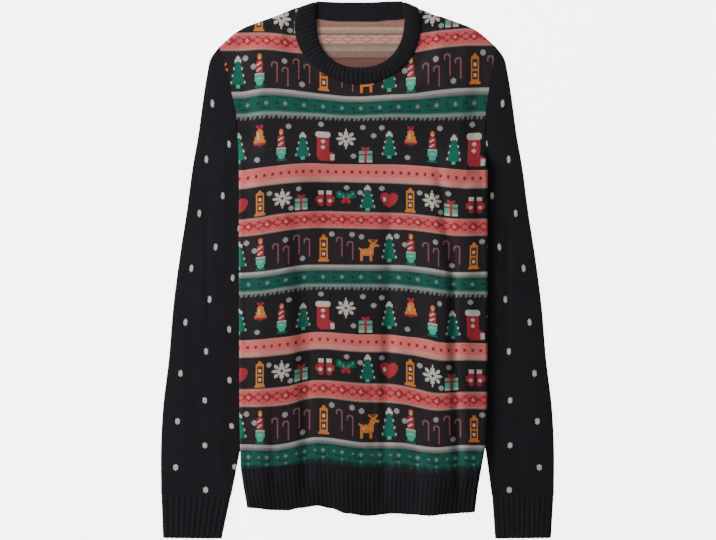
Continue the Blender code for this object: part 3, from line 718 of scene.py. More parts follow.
# Charts, 16 stitches wide at the most: each line is knitted for as many rows as its number says
MOTIFS = {
    "fir": """
.......w........1
......www.......2
.....wwwww......2
.....wgggw......1
.....ggggg......1
......ggg.......1
.....ggggg......2
....wgggggw.....2
....ggggggg.....1
.....ggggg......1
....ggggggg.....2
...wgggggggw....2
...ggggggggg....1
....ggggggg.....1
...ggggggggg....2
..wgggggggggw...2
..ggggggggggg...1
......mmm.......3""",
    "candle": """
.......o........1
......ooo.......2
......owo.......2
.......o........1
......rrr.......1
.....rrrrr......1
.....rrwwr......1
.....rwwrr......1
.....wwrrr......1
.....rrrrr......2
.....rrwwr......1
.....rwwrr......1
.....wwrrr......1
.....rrrrr......2
....wwwwwww.....1
....mmmmmmm.....3
....mmwwwmm.....1
....mmmmmmm.....2
.....mmmmm......3
......mmm.......1
....ggggggg.....2""",
    "gift": """
...rr..rr.......1
...rrrrrr.......2
.....rr.........1
.mmmmrrmmmm.....3
.rrrrrrrrrr.....2
.mmmmrrmmmm.....5
.wwwwrrwwww.....2""",
    "stocking": """
..wwwwwwwww.....1
.wwwwwwwwwww....4
..wwwwwwwww.....1
..rrrrrrrrr.....2
..rrrrwrrrr.....1
..rrrwwwrrr.....2
..rrrrwrrrr.....1
..rrrrrrrrr.....2
..rrrrwrrrr.....1
..rrrwwwrrr.....2
..rrrrwrrrr.....1
..rrrrrrrrr.....2
..rrrrrrrrrr....1
..rrrrrrrrrrrr..1
..rrrrrrrrrrrrr.1
..rrrrrrrrrrwww.2
..rrrrrrrrrrwww.2
...rrrrrrrrrwww.2
....rrrrrrrrrr..1""",
    "bell": """
.....rr.rr......2
......rrr.......2
......ooo.......1
.....ooooo......2
.....owooo......3
....oowoooo.....3
....ooooooo.....1
...ooooooooo....2
...rrrrrrrrr....2
......bbb.......2""",
    "star": """
.......w........3
......www.......1
..ww..www..ww...1
..www.www.www...2
...wwwwwwwww....1
.....wwwww......1
.wwwwww.wwwwww..1
wwwwww...wwwwww.1
.wwwwww.wwwwww..1
.....wwwww......1
...wwwwwwwww....1
..www.www.www...2
..ww..www..ww...1
......www.......1
.......w........3""",
    "mittens": """
...wwww..wwww...4
...rrrr..rrrr...2
..rrrrr..rrrrr..1
.rrrrrr..rrrrrr.2
.rrrwrr..rrwrrr.1
.rrwwwr..rwwwrr.2
..rrwrr..rrwrr..1
...rrrr..rrrr...3
....rr....rr....1""",
    "heart": """
...rrr...rrr....1
..rrrrr.rrrrr...1
.rrrrrrrrrrrrr..3
.rrwwrrrrrrrrr..2
..rwwrrrrrrrr...2
..rrrrrrrrrrr...1
...rrrrrrrrr....2
....rrrrrrr.....1
.....rrrrr......1
......rrr.......1
.......r........1""",
    "deer": """
........o.o.o.o.1
........oo...oo.1
.........oo.oo..1
..........ooo...1
..........oooo..1
.........ooobooo1
.........ooooooo1
.........oooo...1
.o......oooo....1
.ooo.ooooooo....1
..oooooooooo....2
..oowoooowoo....1
..oooooooooo....2
..ooooooooo.....1
..oo.....oo.....5
..bb.....bb.....1""",
    "canes": """
.ppp............1
pp.pp...........1
p...p...........2
p...p....ppp....1
....r...pp.pp...1
....p...p...p...3
....r.......p...1
....p.......r...1
....p.......p...2
....r.......p...1
....p.......r...1
....p.......p...2
....r.......p...1
....p.......r...1
............p...3""",
    "lantern": """
......oo........2
.....oooo.......1
....oooooo......2
....obbbbo......3
....obwwbo......3
....obbbbo......2
....oooooo......2
....obbbbo......2
....obwwbo......3
....obbbbo......2
....oooooo......2
...oooooooo.....2""",
    "holly": """
.ggg.......ggg..2
ggmgggg.ggggmgg.2
.ggmggg.gggmgg..1
gggggmgggmggggg.2
..ggggrrrgggg...1
.....rrrrr......2
....rrr.rrr.....3
.....r...r......1""",
}

# Rows of motifs: each row's first pattern row, and for each of its cells the motif, how far down it
# hangs, and the snow beside it: a flake's places across and down, and how far down a second one
# falls, half a cell aside (NONE where there is none)
NONE = -9
MOTIF_ROWS = [
    (26, [
        ("gift", 27, 3.5, 6, 15),
        ("fir", 11, 1.5, 7, NONE),
        ("bell", 6, 4.5, 37, NONE),
        ("candle", 10, 12.5, 7, NONE),
        ("fir", 13, 0, NONE, NONE),
        ("stocking", 12, 4.5, 4, NONE),
        ("star", 8, 12.5, 36, NONE),
    ]),
    (90, [
        ("fir", 1, 1.5, 9, NONE),
        ("heart", 9, 1.5, 4, NONE),
        ("lantern", 3, 13.5, 7, 24),
        ("star", 4, 13.5, 25, NONE),
        ("gift", 12, 3.5, 5, NONE),
        ("mittens", 8, 0, NONE, NONE),
        ("holly", 8, 7.5, 4, NONE),
    ]),
    (138, [
        ("deer", 9, 2.5, 6, NONE),
        ("fir", 3, 12.5, 5, NONE),
        ("candle", 2, 2.5, 13, NONE),
        ("canes", 9, 9.5, 7, NONE),
        ("canes", 4, 6.5, 27, NONE),
        ("lantern", 5, 12.5, 4, NONE),
        ("canes", 7, 11.5, 4, NONE),
    ]),
]
MOTIF_WIDTH = 16
CELLS = 7
REPEAT_ROWS = 172
CHART_ROWS = 32
PLUM = (0.0296, 0.0178, 0.0194)
PLUM_SHARE = 0.4                 # of the plum yarn in the ground of the last row of motifs
FLAKE = linear(140, 138, 138)
FLAKE_REACH = 3.4                # stitches and rows from its middle, taken together
FLAKE_WIDTH = 2.0
FLAKE_HEIGHT = 2.5

# What numbers are divided by where a ramp reads or holds them: a yarn's number, a motif's, its drop,
# and a flake's place down, counted from FLAKE_BASE rows above its row of motifs
YARNS = 8
MOTIF_NUMBERS = 16
MOTIF_DROPS = 32
FLAKE_PLACES = 64
FLAKE_BASE = 16

GREEN_BAND = """
aaaaaaaaaaaaaa3
bbbbbbbbbbbbbb2
nnnnnnnnnnnnnn1
gggggggggggggg1
dddddgggggdddd1
gggggggggggggg2
ggnggggggggggg1
gnwnggggggdggg1
gwwwgggggdddgg1
gnwnggggggdggg1
ggnggggggggggg1
gggggggggggggg1
dddddgggggdddd1
gggggggggggggg2
nnnnnnnnnnnnnn1
wwwwwwwwwwwwww2
bbbbbbbbbbbbbb1
tt..tt.tt..tt.2
t...t..t...t..1
t...t..t...t..1"""
LAST_GREEN_BAND = """
aaaaaaaaaaaaaa3
bbbbbbbbbbbbbb2
nnnnnnnnnnnnnn1
gggggggggggggg1
dddddgggggdddd1
gggggggggggggg2
ggnggggggggggg1
gnwnggggggnggg1
gwwwgggggnwngg1
gnwnggggggnggg1
ggnggggggggggg1
gggggggggggggg1
dddddgggggdddd1
gggggnggggnggg1
ggnggggggggggg1
gnwngggggggggg1
ggnggggdgggggg1
ddgdddd.dddgdd2
.dgddd...dddg.1
..ddd.....dd..1
...d..........1"""
GREEN_LETTERS = ".abngdwt"
GREEN_YARNS = {
    ".": linear(33, 31, 33),
    "a": linear(152, 151, 145),
    "b": linear(122, 109, 111),
    "n": linear(74, 100, 90),
    "g": linear(24, 78, 67),
    "d": linear(24, 50, 46),
    "w": linear(104, 130, 120),
    "t": linear(104, 104, 102),
}
DOT_BAND = """
eeeeee1
cccccc4
cccccc1
cddccc3
cccccc3
ffffff3
eeeeee2
xxxxxx1
......1"""
DOT_LETTERS = ".ecdfx"
PLAIT_BAND = """
xxxxxxxxxxxxxx1
ssssssssssssss1
cccccccccccccc2
ccrrcccccrrccc1
crrrrccccrrrcc1
rrwrrrcrrcccrr1
rwwrrrrrcccccr1
rwwwrrrrcccccr1
rrwrrrcrrcccrr1
crrrrccccrrrcc1
ccrrcccccrrccc1
cccccccccccccc1
cfccfcfccfcfcc1
cccccccccccccc1
ssssssssssssss1
xxxxxxxxxxxxxx1
..............1"""
PLAIT_LETTERS = ".xcrwfs"
DOT_YARNS = {
    ".": linear(33, 31, 33),
    "e": linear(190, 126, 116),
    "c": linear(206, 100, 98),
    "d": linear(124, 44, 46),
    "f": linear(194, 124, 118),
    "x": linear(120, 98, 94),
}
PLAIT_YARNS = {
    ".": linear(33, 31, 33),
    "x": linear(128, 98, 92),
    "c": linear(192, 82, 84),
    "r": linear(142, 44, 52),
    "w": linear(214, 118, 112),
    "f": linear(208, 104, 102),
    "s": linear(178, 126, 120),
}
CHART_BANDS = [
    # first row, end row, chart, its letters, their yarns
    (0, 26, GREEN_BAND, GREEN_LETTERS, GREEN_YARNS),
    (71, 90, DOT_BAND, DOT_LETTERS, DOT_YARNS),
    (120, 138, PLAIT_BAND, PLAIT_LETTERS, PLAIT_YARNS),
]
LAST_BAND_START = 2 * REPEAT_ROWS


def chart_lines(chart):
    """A chart's rows, its numbered lines written out."""
    lines = []
    for line in chart.split():
        width = len(line.rstrip("0123456789"))
        lines += [line[:width]] * int(line[width:])
    return lines


def chart_stops(chart, letters):
    """A chart as ramp stops, one for each row.

    A stitch's yarn has a number from 0 to 7. Its three binary digits go to the stop's red, green and
    blue, each of which is a binary fraction whose n-th digit belongs to the row's n-th stitch.
    """
    lines = chart_lines(chart)
    numbers = np.zeros((CHART_ROWS, MOTIF_WIDTH), int)
    for row, line in enumerate(lines):
        numbers[row, : len(line)] = [letters.index(letter) for letter in line]
    digits = numbers[:, :, None] >> np.arange(3) & 1
    weights = 0.5 ** np.arange(1, MOTIF_WIDTH + 1)
    guard = 0.5 ** (MOTIF_WIDTH + 1)
    colours = np.einsum("rsd,s->rd", digits, weights) + guard
    return [(row / CHART_ROWS, colour) for row, colour in enumerate(colours.tolist())]


def charted(code, stitch):
    """The yarn number that a chart row's three fractions hold for a stitch."""
    shift = Yarn.node("Math", {"operation": "POWER"}, {0: 2.0, 1: stitch + 1.0})
    number = 0.0
    for weight, part in zip((1, 2, 4), code.parts()):
        number = ((part * shift).floor() % 2.0) * weight + number
    return number


def yarn_ramp(number, letters, yarns):
    """The colour of a yarn number."""
    stops = [(k / YARNS, yarns[letter]) for k, letter in enumerate(letters)]
    return ((number + 0.5) / YARNS).ramp(stops)


def chart_row(row):
    """Where a chart's ramp is read for one of its rows."""
    return (row + 0.5) / CHART_ROWS


def banded(stitch, row, chart, letters, yarns):
    """The colour that a band's chart gives a stitch, repeated along the row."""
    code = chart_row(row).ramp(chart_stops(chart, letters))
    number = charted(code, stitch % len(chart_lines(chart)[0]))
    return yarn_ramp(number, letters, yarns)


def make_jacquard():
    """The right side: bands and rows of motifs, each stitch in the yarn that its chart names. A ramp
    over a row's cells holds the motif's number and its drop, and another the places of its flakes."""
    material, across, down = knit_material("jacquard_knit")
    stitch, row, relief = stitch_cells(across, down)
    place = row % REPEAT_ROWS
    cell = (stitch / MOTIF_WIDTH).floor() % CELLS
    column = stitch % MOTIF_WIDTH
    names = list(MOTIFS)
    which, within, snow = -1.0, -1.0, 0.0
    for first, cells in MOTIF_ROWS:
        end = min([start for start, *_ in CHART_BANDS if start > first] + [REPEAT_ROWS])
        here = (place > first - 0.5) * (place < end - 0.5)
        plan = [
            (k / CELLS, ((names.index(name) + 1) / MOTIF_NUMBERS, drop / MOTIF_DROPS, 0.0))
            for k, (name, drop, *_) in enumerate(cells)
        ]
        number, drop, _ = ((cell + 0.5) / CELLS).ramp(plan).parts()
        which = here * number * MOTIF_NUMBERS + which
        within = here * (place - first - drop * MOTIF_DROPS + 1.0) + within
        places = [
            (k / CELLS, (x / MOTIF_WIDTH, *((y + FLAKE_BASE) / FLAKE_PLACES for y in downs)))
            for k, (_, _, x, *downs) in enumerate(cells)
        ]
        beside, upper, lower = ((cell + 0.5) / CELLS).ramp(places).parts()
        first_column = beside * MOTIF_WIDTH
        second_column = (beside * MOTIF_WIDTH + MOTIF_WIDTH / 2) % MOTIF_WIDTH
        for centre, below in ((first_column, upper), (second_column, lower)):
            aside = abs(column - centre)
            off = abs(place - first + FLAKE_BASE - below * FLAKE_PLACES)
            flake = (aside + off < FLAKE_REACH) * (aside < FLAKE_WIDTH) * (off < FLAKE_HEIGHT)
            snow = here * flake + snow
    code = None
    for number, name in enumerate(names):
        picked = abs(which - number) < 0.5
        part = chart_row(within).ramp(chart_stops(MOTIFS[name], MOTIF_LETTERS)).scaled(picked)
        code = part if code is None else code.plus(part)
    number = charted(code, column) * (within > -0.5)
    colour = yarn_ramp(number, MOTIF_LETTERS, MOTIF_YARNS)
    plum = Yarn.plain(PLUM)
    last_row = place > MOTIF_ROWS[-1][0] - 0.5
    colour = colour.tint(plum, (number < 0.5) * last_row * PLUM_SHARE)
    flake = Yarn.plain(FLAKE)
    colour = colour.tint(flake, (number < 0.5) * (snow > 0.5))

    for first, end, chart, letters, yarns in CHART_BANDS:
        band = banded(stitch, place - first, chart, letters, yarns)
        colour = colour.tint(band, (place > first - 0.5) * (place < end - 0.5))
    band = banded(stitch, row - LAST_BAND_START, LAST_GREEN_BAND, GREEN_LETTERS, GREEN_YARNS)
    colour = colour.tint(band, row > LAST_BAND_START - 0.5)

    shade = heather(stitch, row, 0.16) * cloudy(9.0, 0.12)
    finish_knit(material, colour.scaled(shade), relief, 0.92)
    return material


WRONG_SIDE = [
    # row of the repeat, and the colour of the floats behind it
    (0, (82, 100, 92)),
    (26, (104, 84, 78)),
    (71, (166, 104, 98)),
    (90, (112, 88, 80)),
    (96, (150, 112, 102)),
    (107, (188, 150, 126)),
    (110, (160, 138, 120)),
    (113, (132, 105, 94)),
    (115, (200, 150, 140)),
    (123, (142, 118, 108)),
    (127, (152, 132, 122)),
    (131, (134, 108, 96)),
    (137, (106, 78, 70)),
]
FLECK_RED = linear(150, 58, 60)
DIAMOND_ROWS = (114.5, 122.5)
DIAMOND_STITCHES = 14            # from one to the next
DIAMOND_REACH = 5.0              # stitches from its middle to its side corner
DIAMOND_SLOPE = 1.6
DIAMOND_LINE = 1.1               # half the width of its outline
DIAMOND_RED = 0.42               # share of red in it
FLECK_SIZE = (2.0, 5.0)          # stitches and rows
FLECK_SHARE = 0.26               # of the flecks, those with some red
FLECK_TINT = 0.12


def make_wrong_side():
    """The wrong side: floats of the colours of each row, mottled with short upright flecks, and a line
    of diamonds along the palest rows."""
    material, across, down = knit_material("jacquard_knit_inside")
    stitch, row, relief = stitch_cells(across, down)
    place = row % REPEAT_ROWS
    colour = ((place + 0.8) / REPEAT_ROWS).ramp(
        [(first / REPEAT_ROWS, linear(*shade)) for first, shade in WRONG_SIDE]
    )
    speck = speckle((stitch / FLECK_SIZE[0]).floor(), (row / FLECK_SIZE[1]).floor())
    float_row = Yarn.node("TexWhiteNoise", {"noise_dimensions": "1D"}, {"W": row})
    red = Yarn.plain(FLECK_RED)
    lined = (place > DIAMOND_ROWS[0]) * (place < DIAMOND_ROWS[1])
    beside = abs(stitch % DIAMOND_STITCHES - (DIAMOND_STITCHES - 1) / 2)
    below = abs(place - sum(DIAMOND_ROWS) / 2)
    diamond = abs(beside + below * DIAMOND_SLOPE - DIAMOND_REACH) < DIAMOND_LINE
    reddened = (speck > 1 - FLECK_SHARE) * FLECK_TINT + diamond * lined * DIAMOND_RED
    colour = colour.tint(red, reddened)
    shade = heather(stitch, row, 0.2) * (0.88 + speck * 0.12) * about_one(float_row, 0.2)
    finish_knit(material, colour.scaled(shade), relief, 0.95)
    return material


def neck_angles():
    """Angles of the panel's columns round the front neckline, 0 at the left and 180 at the right."""
    count = PANEL_COLUMNS - 2 * NECK_COLUMN
    return np.radians(np.linspace(-NECK_RISE, 180.0 + NECK_RISE, count + 1))


jacquard = make_jacquard()
wrong_side = make_wrong_side()

front_neck = neckline(neck_angles(), NECK_TUCK, upright=True)
points, facing = panel_form(front_neck)
spanned = panel_form(front_neck, FLAP_SPAN)[0]
top_edge = points[0, FIRST_TOP: LAST_TOP + 1: 2, :2]
to_seams = np.linalg.norm(points[:, :, None, :2] - top_edge, axis=3).min(axis=2)
front_points = front_form(points, spanned, facing, smooth_step(to_seams, *SWELL_START))
front_rows = knitted_rows(folded_out(points[..., 0]), points[..., 1])
front_maps = panel_maps(points, front_rows)
rolled = edge_share(points)
outer = offset(front_points, facing, SKIN)
outer[..., 2] -= (1 - rolled) * SKIN
inner = offset(front_points, facing, GAP / 2)
front = knit_wall("front_panel", outer, inner, *front_maps, [jacquard, wrong_side])
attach(front, "root")
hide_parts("front")

# ---- Back
# The lower layer: the same jacquard with a shallower neckline. Its middle lies on the table, and its
# wrong side, with the floats of the coloured yarns, shows inside the neck.

BACK_NECK = [
    (-77.5, 9.2),
    (-68, 20.5),
    (-50, 25.2),
    (4.8, 28),
    (26, 28),
    (38, 26.4),
    (58, 25.2),
    (74, 20.5),
    (82.9, 12.2),
]

back_neck = smooth_curve(BACK_NECK, np.linspace(0.0, 1.0, PANEL_COLUMNS - 2 * NECK_COLUMN + 1))
points, facing = panel_form(back_neck)
rolled = edge_share(points)
outer = offset(points, facing, -SKIN)
outer[..., 2] += (1 - rolled) * SKIN
inner = offset(points, facing, -GAP / 2)
back_rows = points[..., 1] / ROW - PATTERN_START
back = knit_wall("back_panel", outer, inner, *panel_maps(points, back_rows), [jacquard, wrong_side])
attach(back, "root")
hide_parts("back")

# ---- Ribbed hem
# Two lengths of dark rib knit, linked to the panels' lower edges and folded under with their sides.
# The ribs run up and down and stand a little proud on the side that shows.

HEM_SECTIONS = size_table(
    " ".join(BODY_SECTIONS.dtype.names),
    (639, -159.2, 167.8, 180, 1, 1),
    (662, -156, 164, 180, 1, 1),
    (693.6, -150.7, 160.3, 180, 1, 1),
)
HEM_ROWS = 26
HEM_RIB_COLUMNS = 2.5            # panel columns to a rib
HEM_FADE = (-8.0, 42.0)          # above the hem's edge, where the front's swell has gone and is full
TIED_ROWS = 3                    # rows below the seam over which the ribs rise
RIB_HEIGHT = 0.7
NIGHT = linear(27, 25, 30)


def make_rib():
    """Dark rib knit: the night yarn, uneven stitch by stitch and in soft patches."""
    material, across, down = knit_material("rib_knit")
    stitch, row, relief = stitch_cells(across, down)
    yarn = Yarn.plain(NIGHT)
    shade = heather(stitch, row, 0.22) * cloudy(14.0, 0.24)
    finish_knit(material, yarn.scaled(shade), relief, 0.9)
    return material


def finer_columns(grid):
    """A grid with a column added between every two, halfway."""
    finer = np.repeat(grid, 2, axis=1)[:, :-1]
    finer[:, 1::2] = (grid[:, :-1] + grid[:, 1:]) / 2
    return finer


def rounded_end(outer, inner):
    """The two skins carried round a half circle at their last row, in three steps."""
    middle = (outer[-1] + inner[-1]) / 2
    half = (outer[-1] - inner[-1]) / 2
    out = outer[-1] - outer[-2]
    out[:, 2] = 0.0
    out /= np.linalg.norm(out, axis=1, keepdims=True)
    out *= np.linalg.norm(half, axis=1, keepdims=True)
    return [
        np.concatenate([
            skin,
            [middle + sign * half * np.cos(t) + out * np.sin(t) for t in np.radians([30, 60, 80])],
        ])
        for sign, skin in ((1, outer), (-1, inner))
    ]


rib_knit = make_rib()

points, facing = body_form(HEM_SECTIONS, HEM_ROWS)
spanned = body_form(HEM_SECTIONS, HEM_ROWS, FLAP_SPAN)[0]
above_edge = HEM_SECTIONS["down"][-1] - stretched(HEM_SECTIONS, HEM_ROWS)["down"]
fade = smooth_step(above_edge, *HEM_FADE)[:, None]
facing_fine = finer_columns(facing)
for name, form, near, far, below in (
    ("hem_front_rib", front_form(points, spanned, facing, fade), GAP / 2, SKIN, "hem_back_rib"),
    ("hem_back_rib", points, -GAP / 2, -SKIN, "table"),
):
    outer = offset(finer_columns(form), facing_fine, far)
    inner = offset(finer_columns(form), facing_fine, near)
    if far > 0:
        waves = 0.5 - 0.5 * np.cos(np.arange(outer.shape[1]) * np.pi / HEM_RIB_COLUMNS)
        tied = smooth_step(np.arange(HEM_ROWS), 0, TIED_ROWS)[:, None]
        outer[..., 2] += RIB_HEIGHT * waves * tied * (np.cos(facing_fine) > 0.5)
    outer, inner = rounded_end(outer, inner)
    along = path_length(outer[:, :, [0, 2]])
    down = path_length(outer[:, outer.shape[1] // 2, :])[:, None]
    stitches = grid_map(along / STITCH, down / ROW)
    spread = grid_map(along / np.ptp(along), down / np.ptp(down))
    length = knit_wall(name, outer, inner, stitches, spread, [rib_knit, rib_knit])
    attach(length, "root")
    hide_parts("hem_front" if far > 0 else "hem_back")

# ---- Sleeves
# Each is a tube of plain dark knit with off-white snow dots, sewn along its underarm, linked to the
# armhole, and flattened with its inner part tucked behind the body.

SLEEVE_OUTER = [
    (-188.4, 63.8),
    (-199.8, 79.1),
    (-205.3, 102.3),
    (-210.7, 136.4),
    (-217.6, 186.9),
    (-224.4, 225.1),
    (-232.6, 286.4),
    (-242.1, 347.8),
    (-250.3, 409.2),
    (-257.8, 493.8),
    (-265.3, 556.5),
    (-268, 607),
    (-268, 673.8),
]
SLEEVE_ROWS = 170
LINE_POINTS = 61                 # on the line that a ring of the sleeve follows
SLEEVE_TOP = 44                  # columns over the top, on the table and round each edge
SLEEVE_UNDER = 20
EDGE_STEPS = 8
TUBE_ROUNDING = 0.6              # power of the sine by which a tube's top arches
SLEEVE_PUFF = 1.6                # how far its top stands off its underside
PUFF_RISE = (8.0, 26.0)          # from the body's side outwards
PUFF_FALL = (620.0, 674.0)       # down to the cuff, where it loses PUFF_LOSS of its height
PUFF_LOSS = 0.7

UNDERARM = 250.0

# How far the armhole lies under the body's edge, down that edge, and then the turn below it to the
# hidden underarm: further in, further down
ARMHOLE_TUCK = [(64.8, 1.2), (188.0, 1.2), (204.0, 2.4), (217.0, 9.0), (228.0, 13.0), (250.0, 14.0)]
ARMHOLE_TURN = [(2.0, 9.0), (12.0, 16.0)]

# Wales through the snow dots: for each row of dots, the outer and the next column's places (the left
# sleeve's; the right one's are its mirror)
DOT_WALES = size_table(
    "row outer_across outer_down next_across next_down",
    (-1, -190, 66, -164, 92),
    (0, -198.5, 140.5, -172, 160),
    (1, -206.6, 216.9, -179.4, 232),
    (2, -216.2, 290.5, -189, 301),
    (3, -227.1, 365.6, -199, 372),
    (4, -235.3, 439.2, -205.5, 444),
    (5, -242.1, 508.8, -208.7, 513.5),
    (6, -246.2, 574.2, -209.4, 577.5),
    (7, -248.9, 637, -208.5, 636.5),
    (8, -250, 700, -207.5, 699),
)
DOT_STITCHES = 19                # stitches between dot columns, and rows between dots of a column
DOT_ROWS = 52
FIRST_DOT = -15                  # no dots in the rows above the first whole one
DOT_REACH = 3.5                  # rows from a dot's middle to its upper corner
DOT_SLOPE = 1.3
DOT_WIDTH = 2.0
SNOW = linear(186, 180, 178)
SLEEVE_CREASES = size_table(
    CREASE_COLUMNS,
    (-206, 258, -203, 455, 5, -1.5),
    (-205, 300, -210, 470, 12, 0.9),
    (-238, 420, -246, 560, 9, 0.8),
    (-180, 150, -196, 232, 8, -0.7),
    (-222, 520, -214, 640, 8, -0.7),
    (-190, 560, -184, 660, 9, 0.7),
)
SLEEVE_CREASE_DROP = 36.0        # how much further down the right sleeve's creases lie


def armhole(side):
    """The armhole as the sleeve meets it, tucked under the body's edge: down that edge, further under
    where the side begins to fold, then the hidden part up to the underarm."""
    edge = BODY_SECTIONS["left" if side < 0 else "right"]
    shown = BODY_SECTIONS["down"] <= UNDERARM
    tuck = np.interp(BODY_SECTIONS["down"][shown], *np.transpose(ARMHOLE_TUCK))
    line = [(side * (-SHOULDER_LINE[0][0] - tuck[0]), SHOULDER_LINE[0][1] - tuck[0])]
    line += list(zip(edge[shown] - side * tuck, BODY_SECTIONS["down"][shown]))
    line += [(line[-1][0] - side * inset, UNDERARM + below) for inset, below in ARMHOLE_TURN]
    return np.array(line + [(LEFT_INNER if side < 0 else RIGHT_INNER)[0]])


def tube_ring(line, columns, swell):
    """A flattened tube's ring along a line of the plan, outer and inner skin: back along the table
    from the near edge, round the far one, over the top, whose rise swell gives, and round the near."""
    top_count, under_count = columns
    length = path_length(line)
    width = length[-1]
    turn = np.linspace(-np.pi / 2, np.pi / 2, EDGE_STEPS + 1)
    top = np.linspace(SKIN, width - SKIN, top_count + 1)
    under = np.linspace(width - SKIN, SKIN, under_count + 1)[1:]
    arch = np.sin(np.pi * (top - SKIN) / (width - 2 * SKIN)).clip(0.0) ** TUBE_ROUNDING
    rings = []
    for radius in (SKIN, GAP / 2):
        along = np.concatenate([
            under, SKIN - radius * np.cos(turn[1:-1]), top, width - SKIN + radius * np.cos(turn[1:]),
        ])
        plan = np.stack([np.interp(along, length, line[:, k]) for k in range(2)], axis=1)
        first_top = under_count + EDGE_STEPS - 1
        crown = swell(plan[first_top: first_top + top_count + 1]) * arch
        height = np.concatenate([
            np.full(under_count, -radius), radius * np.sin(turn[1:-1]), radius + crown,
            -radius * np.sin(turn[1:]),
        ])
        rings.append(np.column_stack([plan, SKIN + height]))
    return rings


def dot_places(plan, side):
    """Wale and row of each place of the plan, in dot columns and dot rows: read from the table of
    wales, in three rounds because the rows lean."""
    across, down = plan[..., 0] * -side, plan[..., 1]
    row = np.interp(down, DOT_WALES["outer_down"], DOT_WALES["row"])
    for _ in range(3):
        outer_across, outer_down, next_across, next_down = (
            np.interp(row, DOT_WALES["row"], DOT_WALES[c]) for c in DOT_WALES.dtype.names[1:]
        )
        wale = (across - outer_across) / (next_across - outer_across)
        lean = np.clip(wale, -1.0, 3.0) * (next_down - outer_down)
        row = np.interp(down - lean, DOT_WALES["outer_down"], DOT_WALES["row"])
    return wale, row


def sleeve_swell(side):
    """Rise of a sleeve's top beside the body, with its creases."""
    body_side = BODY_SECTIONS["left" if side < 0 else "right"][-1]

    def rise(plan):
        """The puff, with creases as deep as the puff allows, never below nothing."""
        puff = SLEEVE_PUFF * smooth_step(side * (plan[:, 0] - body_side), *PUFF_RISE)
        puff *= 1 - PUFF_LOSS * smooth_step(plan[:, 1], *PUFF_FALL)
        down = plan[:, 1] - SLEEVE_CREASE_DROP * (side > 0)
        lines = crease_lines(SLEEVE_CREASES, plan[:, 0] * -side, down)
        return np.maximum(puff + lines * puff / SLEEVE_PUFF, 0.0)

    return rise


def make_sleeve_knit():
    """Plain night knit with half-dropped snow dots, each a small lozenge of off-white stitches."""
    material, across, down = knit_material("sleeve_knit")
    stitch, row, relief = stitch_cells(across, down)
    column = (stitch / DOT_STITCHES + 0.5).floor()
    beside = abs(stitch - column * DOT_STITCHES)
    dropped = row + (column % 2.0) * (DOT_ROWS // 2)
    below = abs((dropped / DOT_ROWS + 0.5) % 1.0 - 0.5) * DOT_ROWS
    dot = (beside * DOT_SLOPE + below < DOT_REACH) * (beside < DOT_WIDTH) * (row > FIRST_DOT)
    yarn = Yarn.plain(NIGHT)
    snow = Yarn.plain(SNOW)
    colour = yarn.tint(snow, dot)
    shade = heather(stitch, row, 0.22) * cloudy(11.0, 0.28)
    finish_knit(material, colour.scaled(shade), relief, 0.9)
    return material


def make_sleeve(name, side):
    """A sleeve: rings carried from the armhole to the cuff, between its outer and inner edges. Each
    ring's line blends the armhole's and the cuff's, moved so that its ends meet both edges."""
    shares = np.linspace(0.0, 1.0, SLEEVE_ROWS)
    inner_edge = smooth_curve(LEFT_INNER if side < 0 else RIGHT_INNER, shares)
    outer_edge = smooth_curve(SLEEVE_OUTER, shares) * (-side, 1)
    hole = armhole(side)
    length = path_length(hole)
    across = np.linspace(0.0, 1.0, LINE_POINTS)[:, None]
    start = np.column_stack([
        np.interp(across[:, 0] * length[-1], length, hole[:, k]) for k in range(2)
    ])
    end = outer_edge[-1] + (inner_edge[-1] - outer_edge[-1]) * across
    swell = sleeve_swell(side)
    outer, inner = [], []
    for share, outer_point, inner_point in zip(shares, outer_edge, inner_edge):
        line = start * (1 - share) + end * share
        line = line + (1 - across) * (outer_point - line[0]) + across * (inner_point - line[-1])
        skins = tube_ring(line, (SLEEVE_TOP, SLEEVE_UNDER), swell)
        outer.append(skins[0])
        inner.append(skins[1])
    outer, inner = np.array(outer), np.array(inner)
    wale, row = dot_places(outer[..., :2], side)
    edge_wale = dot_places(outer_edge, side)[0][:, None]
    turned = SLEEVE_UNDER + EDGE_STEPS // 2
    wale[:, :turned] = 2 * edge_wale - wale[:, :turned]
    stitches = grid_map(wale * DOT_STITCHES, row * DOT_ROWS)
    stitches = np.concatenate([stitches, stitches[:, -1:] + (1.0, 0.0)], axis=1)
    spread = grid_map(np.linspace(0.0, 1.0, outer.shape[1] + 1), shares[:, None])
    sleeve = knit_wall(name, outer, inner, stitches, spread, [sleeve_knit, rib_knit], closed=True)
    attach(sleeve, "root")
    return sleeve


sleeve_knit = make_sleeve_knit()
left_sleeve = make_sleeve("left_sleeve", -1)
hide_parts("sleeve_left")
right_sleeve = make_sleeve("right_sleeve", 1)
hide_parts("sleeve_right")

# ---- Cuffs
# Tubes of the same rib knit, linked to the sleeves' ends and narrowing towards the hand. Their ribs
# stand proud below the seam and run out over a rounded free edge.

CUFF_RIBS = 11
CUFF_ROWS = 26
RIB_COLUMNS = 8                  # grid columns to a rib
CUFF_TOP = CUFF_RIBS * RIB_COLUMNS
CUFF_UNDER = 20
CUFF_PUFF = 0.5
CUFF_TIED = 0.08                 # share of its length over which the ribs rise


